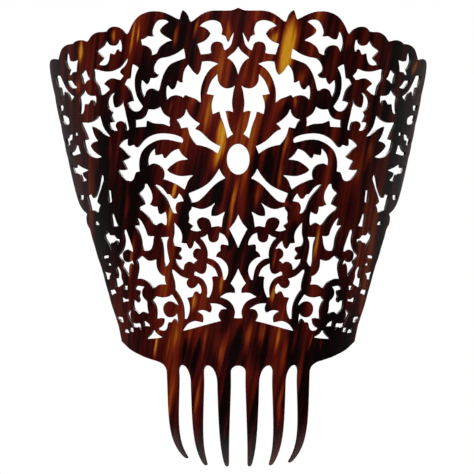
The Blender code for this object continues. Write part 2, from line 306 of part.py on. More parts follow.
def curve_run(points, steps=8):
    """Smooth curve through an open run of points (centripetal Catmull-Rom)."""
    if len(points) == 2:
        return list(points)
    pts = [Vector(p) for p in points]
    ends = [pts[0] * 2 - pts[1]] + pts + [pts[-1] * 2 - pts[-2]]
    out = []
    for i in range(1, len(ends) - 2):
        p0, p1, p2, p3 = ends[i - 1:i + 3]
        d1 = max((p1 - p0).length, 1e-6) ** 0.5
        d2 = max((p2 - p1).length, 1e-6) ** 0.5
        d3 = max((p3 - p2).length, 1e-6) ** 0.5
        m1 = (p1 - p0) / d1 - (p2 - p0) / (d1 + d2) + (p2 - p1) / d2
        m2 = (p2 - p1) / d2 - (p3 - p1) / (d2 + d3) + (p3 - p2) / d3
        m1, m2 = m1 * d2, m2 * d2
        for k in range(steps):
            t = k / steps
            a = 2 * t ** 3 - 3 * t ** 2 + 1
            b = t ** 3 - 2 * t ** 2 + t
            c = -2 * t ** 3 + 3 * t ** 2
            d = t ** 3 - t ** 2
            p = p1 * a + m1 * b + p2 * c + m2 * d
            out.append((p.x, p.y))
    out.append(tuple(points[-1]))
    return out


def fewer(run, tol):
    """The same open run with only the points it needs to stay within tol."""
    if len(run) < 3:
        return run
    a, b = Vector(run[0]), Vector(run[-1])
    along = b - a
    worst, at = -1.0, 0
    for i in range(1, len(run) - 1):
        p = Vector(run[i]) - a
        if along.length < 1e-9:
            off = p.length
        else:
            off = abs(along.x * p.y - along.y * p.x) / along.length
        if off > worst:
            worst, at = off, i
    if worst <= tol:
        return [run[0], run[-1]]
    return fewer(run[:at + 1], tol)[:-1] + fewer(run[at:], tol)


def runs_of(rows, closed):
    """Split an outline into open runs that end on its corners."""
    corners = [i for i, r in enumerate(rows) if r[2]]
    pts = [(r[0], r[1]) for r in rows]
    if not closed:
        marks = sorted({0, len(rows) - 1} | set(corners))
        return [pts[a:b + 1] for a, b in zip(marks, marks[1:])]
    first = corners[0]
    pts = pts[first:] + pts[:first]
    marks = [c - first for c in corners] + [len(pts)]
    pts.append(pts[0])
    return [pts[a:b + 1] for a, b in zip(marks, marks[1:])]


def trace(text, closed=True):
    """Runs of closely spaced points, one run between each pair of corners."""
    return [curve_run(run) for run in runs_of(read_points(text), closed)]


def area(loop):
    total = 0.0
    for (u0, z0), (u1, z1) in zip(loop, loop[1:] + loop[:1]):
        total += u0 * z1 - u1 * z0
    return total / 2


def side_edge(z):
    """Straight line close to the side edge of the lower crest."""
    return 111.5 + 0.5 * min(z, 12.0)


def open_to_front(runs, amount=1.0):
    """Set back the outer wall of an opening.

    Openings are given as the clear sight through the bent sheet from straight in front.
    The wall on the outer side shows its thickness from there, so it is moved out by that
    much and the clear sight stays as given.
    """
    loop = [p for run in runs for p in run[:-1]]
    turn = 1.0 if area(loop) > 0 else -1.0
    count = len(loop)
    moved = []
    for i, (u, z) in enumerate(loop):
        ua, za = loop[i - 1]
        ub, zb = loop[(i + 1) % count]
        du, dz = ub - ua, zb - za
        outward = turn * dz / max(math.hypot(du, dz), 1e-9)
        share = min(max((outward + 0.3) / 0.6, 0.0), 1.0)
        share = share * share * (3 - 2 * share)
        bend = min(u / former_radius(z), math.radians(70))
        set_back = u + amount * share * SHEET_T * math.tan(bend)
        if z < 12:
            set_back = max(min(set_back, side_edge(z) - EDGE_KEEP), u)
        moved.append((set_back, z))
    out, at = [], 0
    for run in runs:
        size = len(run) - 1
        part = [moved[(at + k) % count] for k in range(size + 1)]
        out.append(part)
        at += size
    return out


def joined(runs, tol=TOL):
    loop = []
    for run in runs:
        loop += fewer(run, tol)[:-1]
    return loop


def crosses(p, q, r, s):
    def side(a, b, c):
        return (b[0] - a[0]) * (c[1] - a[1]) - (b[1] - a[1]) * (c[0] - a[0])
    return side(p, q, r) * side(p, q, s) < 0 and side(r, s, p) * side(r, s, q) < 0


def is_simple(loop):
    edges = list(zip(loop, loop[1:] + loop[:1]))
    for i, (p, q) in enumerate(edges):
        for r, s in edges[i + 2:]:
            if crosses(p, q, r, s):
                return False
    return True


def side_opening(text):
    """Closed outline of one opening of the right half."""
    runs = trace(text)
    for amount in (1.0, 0.8, 0.6, 0.4, 0.2, 0.0):
        loop = joined(open_to_front(runs, amount))
        if is_simple(loop):
            return loop
    raise ValueError("an opening crosses itself: " + text[:30])


def mirrored(loop):
    return [(-u, z) for u, z in reversed(loop)]


def across(text, tol=TOL):
    """Closed outline of an opening on the centre line, from its right-hand half."""
    half = []
    for run in trace(text, closed=False):
        half += fewer(run, tol)[:-1]
    last = read_points(text)[-1]
    half.append((last[0], last[1]))
    left = [(-u, z) for u, z in reversed(half[1:-1])]
    return half + left


def tooth_edge(index, tip, z, side):
    """Edge of one tooth of the right half at height z; side is -1 inner, +1 outer."""
    rise = z - tip
    share = min(max((rise - 1.5) / 46.0, 0.0), 1.0)
    half = min(TOOTH_HALF, 1.45 + 2.5 * share ** 0.6)
    if rise < 1.5:
        half = 1.45 * math.sqrt(max(1.0 - (1.0 - rise / 1.5) ** 2, 0.0))
    return TOOTH_ANGLES[index] * former_radius(z) + side * half


def comb_bottom(tips):
    """Right half of the lower outline from the band edge to the centre line."""
    out = []
    heights = [-77.0, -85, -95, -104, -110, -115, -120]
    for index in (2, 1, 0):
        tip = tips[index]
        side = [h for h in heights if h > tip + 9.5]
        side += [tip + h for h in (8.0, 4.5, 2.3, 1.2, 0.45)]
        outer = side if index == 2 else [FLARE_Z] + side[1:]
        out += [(tooth_edge(index, tip, h, 1), h) for h in outer]
        out.append((tooth_edge(index, tip, tip, 1), tip))
        out += [(tooth_edge(index, tip, h, -1), h) for h in reversed(side)]
        # rounded top of the gap to the next tooth inwards
        a = tooth_edge(index, tip, -77.0, -1)
        if index == 0:
            rad = a
            for k in range(1, 4):
                t = math.radians(22.5 * k)
                out.append((rad * math.cos(t), -77.0 + (GAP_TOP_Z + 77.0) * math.sin(t)))
            out.append((0.0, GAP_TOP_Z))
            continue
        b = tooth_edge(index - 1, tips[index - 1], FLARE_Z, 1)
        peak = a - 0.3 * (a - b)
        for k in range(1, 4):
            t = math.radians(30 * k)
            out.append((peak + (a - peak) * math.cos(t),
                        -77.0 + (GAP_TOP_Z + 77.0) * math.sin(t)))
        for k in range(1, 4):
            t = math.radians(22.5 * k)
            out.append((peak - (peak - b) * math.sin(t),
                        FLARE_Z + (GAP_TOP_Z - FLARE_Z) * math.cos(t)))
    return out


def sheet_outlines():
    """Outer outline first, then every opening, as closed loops in u, z."""
    half = []
    for run in trace(RIM, closed=False):
        half += fewer(run, TOL)[:-1]
    last = read_points(RIM)[-1]
    half.append((last[0], last[1]))
    left = [(-u, z) for u, z in reversed(half + comb_bottom(TIPS_LEFT)) if abs(u) > 1e-6]
    loops = [half + comb_bottom(TIPS_RIGHT) + left]
    cu, cz, hu, hz = EYE
    loops.append([(cu + hu * math.cos(math.tau * k / 24), cz + hz * math.sin(math.tau * k / 24))
                  for k in range(24)])
    loops += [across(text) for text in CENTRE_HOLES]
    for text in HOLES.values():
        loop = side_opening(text)
        loops += [loop, mirrored(loop)]
    for left_text, right_text in ODD_HOLES.values():
        loops.append(side_opening(right_text))
        loops.append(mirrored(side_opening(left_text)))
    return loops


# ---- flat sheet to rolled section ---------------------------------------------------------

def strip_edges():
    edge = math.radians(FACET) / 2
    out = [edge]
    while out[-1] < math.radians(90):
        out.append(out[-1] + math.radians(FACET))
    return [-a for a in reversed(out)] + out


STRIPS = strip_edges()


def rolled(across_u, z, depth):
    """Place a flat point on the former. depth runs from 0 at the front face inwards."""
    angle = across_u / U_REF
    for a, b in zip(STRIPS, STRIPS[1:]):
        if a <= angle <= b:
            break
    t = (angle - a) / (b - a)
    s = math.sin(a) * (1 - t) + math.sin(b) * t
    c = math.cos(a) * (1 - t) + math.cos(b) * t
    radius = former_radius(z)
    curl, slope = 0.0, 0.0
    if z < SEAM_TEETH_Z:
        tips = TIPS_RIGHT if angle > 0 else TIPS_LEFT
        tip = tips[(abs(angle) > 0.211) + (abs(angle) > 0.417)]
        reach = SEAM_TEETH_Z - tip
        curl = TIP_BEND * ((SEAM_TEETH_Z - z) / reach) ** TIP_POWER
        slope = TIP_POWER * curl / max(SEAM_TEETH_Z - z, 1e-6)
    inner = radius - depth * math.hypot(1.0, slope) - curl
    return Vector((inner * s, radius - inner * c, z - ROOT_Z)) * MM


def flat_solid(name, loops, thickness):
    """Flat solid in the X, Y plane from a filled 2D curve, as an object."""
    curve = bpy.data.curves.new(name, "CURVE")
    curve.dimensions = "2D"
    curve.fill_mode = "BOTH"
    curve.extrude = thickness * MM / 2
    for loop in loops:
        spline = curve.splines.new("POLY")
        spline.points.add(len(loop) - 1)
        for point, (u, z) in zip(spline.points, loop):
            point.co = (u / former_radius(z) * U_REF * MM, z * MM, 0.0, 1.0)
        spline.use_cyclic_u = True
    holder = bpy.data.objects.new(name + "_curve", curve)
    bpy.context.scene.collection.objects.link(holder)
    bpy.context.view_layer.update()
    graph = bpy.context.evaluated_depsgraph_get()
    mesh = bpy.data.meshes.new_from_object(holder.evaluated_get(graph))
    bm = bmesh.new()
    bm.from_mesh(mesh)
    bmesh.ops.remove_doubles(bm, verts=bm.verts, dist=0.00001)
    bmesh.ops.recalc_face_normals(bm, faces=bm.faces)
    bm.to_mesh(mesh)
    bm.free()
    bpy.data.objects.remove(holder)
    bpy.data.curves.remove(curve)
    solid = bpy.data.objects.new(name, mesh)
    bpy.context.scene.collection.objects.link(solid)
    return solid


def ribbon(path):
    """Closed outline of a slot SEAM wide along a path."""
    left, right = [], []
    for i, p in enumerate(path):
        a = Vector(path[max(i - 1, 0)])
        b = Vector(path[min(i + 1, len(path) - 1)])
        along = (b - a).normalized()
        side = Vector((-along.y, along.x)) * (SEAM / 2)
        left.append((p[0] + side.x, p[1] + side.y))
        right.append((p[0] - side.x, p[1] - side.y))
    return left + right[::-1]


def seams():
    """Slots that part the sheet into its sections."""
    side = ribbon(SEAM_SIDE)
    slots = [side, mirrored(side)]
    for z, reach in ((SEAM_CREST_Z, 95.0), (SEAM_TEETH_Z, 60.0)):
        slots.append([(-reach, z - SEAM / 2), (reach, z - SEAM / 2),
                      (reach, z + SEAM / 2), (-reach, z + SEAM / 2)])
    return slots


def part_sheet():
    """Saw the flat sheet along the seams and return its loose sections."""
    sheet = flat_solid("sheet", sheet_outlines(), SHEET_T)
    for index, slot in enumerate(seams()):
        cutter = flat_solid("seam_%d" % index, [slot], SHEET_T * 3)
        tool = sheet.modifiers.new("seam", "BOOLEAN")
        tool.operation = "DIFFERENCE"
        tool.solver = "EXACT"
        tool.object = cutter
        bpy.context.view_layer.update()
        graph = bpy.context.evaluated_depsgraph_get()
        mesh = bpy.data.meshes.new_from_object(sheet.evaluated_get(graph))
        sheet.modifiers.clear()
        sheet.data = mesh
        bpy.data.objects.remove(cutter)
    bm = bmesh.new()
    bm.from_mesh(sheet.data)
    bpy.data.objects.remove(sheet)
    bmesh.ops.remove_doubles(bm, verts=bm.verts, dist=0.00001)
    return loose_parts(bm)


def loose_parts(bm):
    bm.verts.ensure_lookup_table()
    seen, groups = set(), []
    for start in bm.verts:
        if start.index in seen:
            continue
        seen.add(start.index)
        stack, group = [start], []
        while stack:
            v = stack.pop()
            group.append(v.index)
            for e in v.link_edges:
                o = e.other_vert(v)
                if o.index not in seen:
                    seen.add(o.index)
                    stack.append(o)
        groups.append(set(group))
    out = []
    for group in groups:
        piece = bm.copy()
        piece.verts.ensure_lookup_table()
        extra = [v for v in piece.verts if v.index not in group]
        bmesh.ops.delete(piece, geom=extra, context="VERTS")
        out.append(piece)
    bm.free()
    return out


def outline_of(flat):
    """Corner points and edges, in mm, round the upper face of a flat piece."""
    edges = []
    for edge in flat.edges:
        tops = [f for f in edge.link_faces if f.normal.z > 0.5]
        if len(tops) == 1 and all(v.co.z > 0 for v in edge.verts):
            edges.append(edge)
    points, index = [], {}
    for edge in edges:
        for v in edge.verts:
            if v.index not in index:
                index[v.index] = len(points)
                points.append(Vector((v.co.x, v.co.y)) / MM)
    return points, [(index[e.verts[0].index], index[e.verts[1].index]) for e in edges]


def inside(points, edges, probes):
    """Even-odd test of many probe points against the outline."""
    a = np.array([points[i] for i, _ in edges])
    b = np.array([points[j] for _, j in edges])
    result = []
    for x, y in probes:
        spans = (a[:, 1] > y) != (b[:, 1] > y)
        p, q = a[spans], b[spans]
        at = p[:, 0] + (y - p[:, 1]) * (q[:, 0] - p[:, 0]) / (q[:, 1] - p[:, 1])
        result.append(np.count_nonzero(at > x) % 2 == 1)
    return result


def in_strips(flat, levels):
    """The same flat piece with edges only where the former turns, or at the levels."""
    flat.verts.index_update()
    flat.normal_update()
    points, edges = outline_of(flat)
    xs, ys = [p.x for p in points], [p.y for p in points]
    lo_x, hi_x, lo_y, hi_y = min(xs), max(xs), min(ys), max(ys)
    all_points, all_edges = list(points), list(edges)
    turns = [a * U_REF for a in STRIPS if lo_x + 0.02 < a * U_REF < hi_x - 0.02]
    lines = [((x, lo_y - 5), (x, hi_y + 5)) for x in turns]
    lines += [((lo_x - 5, y), (hi_x + 5, y)) for y in levels if lo_y + 0.5 < y < hi_y - 0.5]
    for start, end in lines:
        all_edges.append((len(all_points), len(all_points) + 1))
        all_points += [Vector(start), Vector(end)]
    made = delaunay_2d_cdt(all_points, all_edges, [], 0, 1e-5)
    spots, faces = made[0], made[2]
    probes = [sum((spots[i] for i in f), Vector((0, 0))) / 3 for f in faces]
    kept = [f for f, ok in zip(faces, inside(points, edges, probes)) if ok]
    out = bmesh.new()
    up, down = {}, {}
    half = SHEET_T * MM / 2
    for face in kept:
        for i in face:
            if i not in up:
                x, y = spots[i] * MM
                up[i] = out.verts.new((x, y, half))
                down[i] = out.verts.new((x, y, -half))
    rim = {}
    for face in kept:
        turn = list(face)
        a, b, c = (spots[i] for i in turn)
        if (b - a).cross(c - a) < 0:
            turn.reverse()
        out.faces.new([up[i] for i in turn])
        out.faces.new([down[i] for i in reversed(turn)])
        for i, j in zip(turn, turn[1:] + turn[:1]):
            if (j, i) in rim:
                del rim[(j, i)]
            else:
                rim[(i, j)] = True
    for i, j in rim:
        out.faces.new([up[j], up[i], down[i], down[j]])
    return out


def section(name, flat, colour):
    """Roll one flat section round the former and give it its own material."""
    levels = ()
    if name.startswith("tooth"):
        levels = (-90, -100, -107, -112, -116, -119.5, -122.5, -125.5, -128, -130.5)
    bm = in_strips(flat, levels)
    flat.free()
    bmesh.ops.triangulate(bm, faces=bm.faces, quad_method="BEAUTY", ngon_method="BEAUTY")
    for v in bm.verts:
        depth = 0.0 if v.co.z > 0 else SHEET_T
        v.co = rolled(v.co.x / MM, v.co.y / MM, depth)
    mesh = bpy.data.meshes.new(name)
    bm.to_mesh(mesh)
    bm.free()
    obj = bpy.data.objects.new(name, mesh)
    parts.objects.link(obj)
    material = bpy.data.materials.new(name + "_shell")
    material.use_nodes = True
    shader = material.node_tree.nodes["Principled BSDF"]
    shader.inputs["Base Color"].default_value = colour
    shader.inputs["Roughness"].default_value = 0.16
    shader.inputs["Coat Weight"].default_value = 0.4
    material.diffuse_color = colour
    mesh.materials.append(material)
    return obj


def build():
    pieces = part_sheet()
    named = {}
    teeth = []
    for piece in pieces:
        xs = [v.co.x for v in piece.verts]
        zs = [v.co.y for v in piece.verts]
        mid, top = (min(xs) + max(xs)) / 2, max(zs) / MM
        if top < SEAM_TEETH_Z:
            teeth.append((mid, piece))
        elif top < SEAM_CREST_Z:
            named.setdefault("base_band", []).append(piece)
        elif abs(mid) < 0.01:
            named.setdefault("crest_centre", []).append(piece)
        elif mid > 0:
            named.setdefault("crest_right_wing", []).append(piece)
        else:
            named.setdefault("crest_left_wing", []).append(piece)
    teeth.sort(key=lambda row: row[0])
    for index, row in enumerate(teeth):
        named["tooth_%d" % (index + 1)] = [row[1]]
    colours = {"crest_centre": (0.15, 0.028, 0.008, 1), "base_band": (0.12, 0.022, 0.007, 1)}
    for name in sorted(named):
        if len(named[name]) != 1:
            sizes = [(len(p.verts), [round(c / MM, 1) for c in p.verts[:][0].co]) for p in named[name]]
            raise ValueError("%s is in %d pieces %s" % (name, len(named[name]), sizes))
        section(name, named[name][0], colours.get(name, (0.11, 0.022, 0.007, 1)))


for old in list(bpy.data.objects):
    bpy.data.objects.remove(old, do_unlink=True)
parts = bpy.data.collections.new(NAME)
bpy.context.scene.collection.children.link(parts)
build()
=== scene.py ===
"""An openwork hair comb of imitation tortoiseshell, sawn from one sheet and rolled.

The sheet is drawn flat, in millimetres: u runs round the sheet from the centre line and
z runs up. It is sawn to its outline, its edges are rounded, it is parted into named
sections along hairlines that close up, and each section is rolled round a cone. Every
section keeps its flat place as the UV map "sheet", which the tortoiseshell figure reads.
"""
import math
from contextlib import contextmanager
from types import SimpleNamespace

import bmesh
import bpy
import numpy as np
from bpy.props import FloatProperty, FloatVectorProperty, IntProperty, PointerProperty
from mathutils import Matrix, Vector


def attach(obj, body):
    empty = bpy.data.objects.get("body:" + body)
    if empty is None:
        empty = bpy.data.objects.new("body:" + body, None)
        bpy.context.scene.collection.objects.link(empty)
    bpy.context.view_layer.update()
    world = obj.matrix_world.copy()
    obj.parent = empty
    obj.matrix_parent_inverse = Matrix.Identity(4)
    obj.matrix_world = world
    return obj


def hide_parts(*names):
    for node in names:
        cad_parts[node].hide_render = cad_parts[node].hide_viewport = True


bl_info = {
    "name": "Openwork hair comb",
    "version": (1, 0, 0),
    "blender": (4, 5, 0),
    "location": "3D View > Sidebar > Comb",
    "description": "A rolled fretwork comb of imitation tortoiseshell, with its stage",
    "category": "Add Mesh",
}

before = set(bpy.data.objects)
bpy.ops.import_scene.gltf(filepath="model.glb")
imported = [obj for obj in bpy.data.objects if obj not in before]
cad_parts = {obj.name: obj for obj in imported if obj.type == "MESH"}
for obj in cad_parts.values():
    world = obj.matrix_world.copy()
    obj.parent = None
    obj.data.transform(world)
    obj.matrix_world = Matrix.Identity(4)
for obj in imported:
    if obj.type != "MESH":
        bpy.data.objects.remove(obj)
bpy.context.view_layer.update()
ROOT_BODY = "root"
MM = 0.001
FLAT = "flat."                # starts the name of a section that isn't rolled yet

# ---- the sheet, millimetres -----------------------------------------------------------------
R_LOW, Z_LOW = 80.0, -60.0    # cone radius at the foot of the crest
R_TOP, Z_TOP = 122.0, 125.0   # cone radius near the top rim
Z_EASE = (-70.0, -85.0)       # the cone eases to a straight tube between these heights
ROOT_Z = -75.0                # roots of the teeth, the object's Z = 0
SEAM_CREST_Z = -59.8          # band below, crest above
SEAM_TEETH_Z = -78.6          # teeth below, band above
U_REF = 100.0                 # the flat sheet is drawn as if at this radius
UV_SPAN = 100.0               # millimetres of sheet to one unit of its UV map
ROLL_CLEAR = 0.11             # the smooth roll lies this far inside the CAD's flat strips
ROLL_EASE = 0.9994            # and turns this little less

# the teeth of one half, from the centre outwards
TOOTH_ANGLES = (0.107, 0.315, 0.519)                  # radians from the centre line
TOOTH_BOUNDS = [(a + b) / 2 for a, b in zip(TOOTH_ANGLES, TOOTH_ANGLES[1:])]
TIPS_LEFT = (-132.4, -132.0, -128.4)                  # heights where the teeth end
TIPS_RIGHT = (-132.4, -132.0, -130.8)
TOOTH_HALF = 3.95             # half width near the root
TIP_HALF = 1.45               # half width just above the rounded end
TIP_ROUND = 1.5               # height of the rounded end
WIDEN_HEIGHT = 46.0           # height over which a tooth widens above its rounded end,
WIDEN_BY = 2.5                # by how much,
WIDEN_POWER = 0.6             # and how early
GAP_TOP_Z = -73.4             # top of the rounded gap between two teeth
GAP_SIDE_Z = -77.0            # its inner side runs straight below this
FLARE_Z = -84.0               # its other side runs straight below this
GAP_PEAK_SHARE = 0.3          # the gap is highest this far across from its inner side
SIDE_STEP = 1.4               # spacing of the points down a tooth
END_HEIGHTS = (4.2, 3.2, 2.4, 1.7, 1.15, 0.7, 0.35, 0.1)   # closer ones above the tip
TIP_BEND = 15.0               # how far the tips hook in towards the head
TIP_POWER = 5                 # how suddenly they do
TIP_TAPER = 15.0              # length over which a tooth thins to its tip
THIN_POWER = 0.7              # how evenly it thins

# the openings' walls, seen from straight in front
SIDE_TOP_Z = 12.0             # below this height the side edge slants
SIDE_EDGE_U = 111.5           # how far out the side edge lies at height 0,
SIDE_SLANT = 0.5              # and how fast it goes out as it rises
EDGE_KEEP = 2.0               # least width of sheet outside an opening at the side edge
WALL_BLEND = 0.3              # walls that face more than this to the side count in full
TURN_LIMIT = math.radians(70) # a wall isn't set back further than at this turn of the sheet

# easing of the corners
TRIM_LEAST, TRIM_MOST = 0.02, 0.9    # how much a corner takes off the runs beside it
TRIM_SHARE = 0.4              # most of a run that one corner takes
ALMOST_STRAIGHT = 1.5         # half the angle at a corner too flat to ease, radians
SHARPEST = 0.05               # half the sharpest angle allowed for, radians
MITRE_LIMIT = 1.6             # an inner line goes at most this much further in at a corner
ROUND_LEAST = 0.03            # least rounding of an edge
ROUND_STEP = 0.7              # where a rounded edge would cross itself, it is reduced by this

# ---- the fretwork ---------------------------------------------------------------------------
# Each outline lists "u,z" points of the half to the right of the centre line. A point with
# "!" is a sharp corner; a smooth curve runs through the others.

RIM = """
0,130.8! 1.6,130.1 3.5,129.4 7,129.2 11,129.3 15,129.2 18,128.6 21,127.3 24,125.3 26,123.7
27.5,123! 28.4,124.2 29,126.2 30,127.9 31.3,129.3 32.3,129.9! 33,128.6 33.6,126.5 34.2,124.6!
36,125.3 38.5,126.6 41.5,128 45,129.2 49,129.7 53,129.6 57,128.6 60,127.2 62.5,125
64.5,122.5 66,119.8 67.2,117.9 68.2,117.2! 69.3,118.3 71,120 73.5,121.4 76.5,122 79.5,121.9
81.5,121 83.3,119.5! 86,119.4 90,119.5 93.5,118.8 96.5,117.3 98.5,115.5 99.8,114.6!
102,115.1 105,115.7 109,115.8 112.5,115.2 115,114.2! 119,114.2 123,113.9 127,113
130.5,111.5 133.5,109 135.5,107 136.7,106.1! 142,107 149,107.3 156,106.5 161,103.5
163.5,98.5 163,92 159.5,86! 162,82 161.5,76 157.5,70 155,68! 157,64.5 156.5,60 153,57!
154.5,54 153.5,50.5 149.5,48! 148,42 144.5,35 140,28 134,21.5 126,17 116,13.7! 118.5,11.5
118.5,8 114,4.5! 111.5,-1 108.5,-6 105.5,-12 102,-17 99.5,-22 97,-28 94,-34 91.5,-40
88,-46 84.8,-52! 83.7,-56 82.4,-61.2! 80,-62.3 75,-64.9 70,-66.8 65,-68.3 60,-69.7
53,-71.2 48.5,-72.2 45.8,-73.6 44.3,-75.2
"""

# openings that lie across the centre line, from their top point to their lowest
CENTRE_HOLES = (
    "0,108.7! 1.5,106.4 3,105 5,103.5 6.4,102.2! 4.5,101.2 2.5,99 1,96 0,92.8!",
    "0,12.8! 1.2,10 2.5,7.8 4,6 5.2,4.6! 4.3,3 3,0.5 2,-1.5 1,-3.7 0,-6!",
    """0,-18! 1,-20.5 2.5,-23.3 4.4,-26.5! 3,-28 2,-29.5 1.8,-31 1.8,-32! 4,-31.8 6.5,-32
    8.5,-32.9 10.6,-34.2! 8,-35 5.5,-36.3 3.5,-38.3 2.2,-41 1.8,-43 2.1,-45 2.4,-46.2! 0,-46.3!""",
)
# the oval at the heart of the flower: centre u, z, half width, half height
EYE = (0.0, 44.4, 6.55, 8.7)
EYE_POINTS = 72

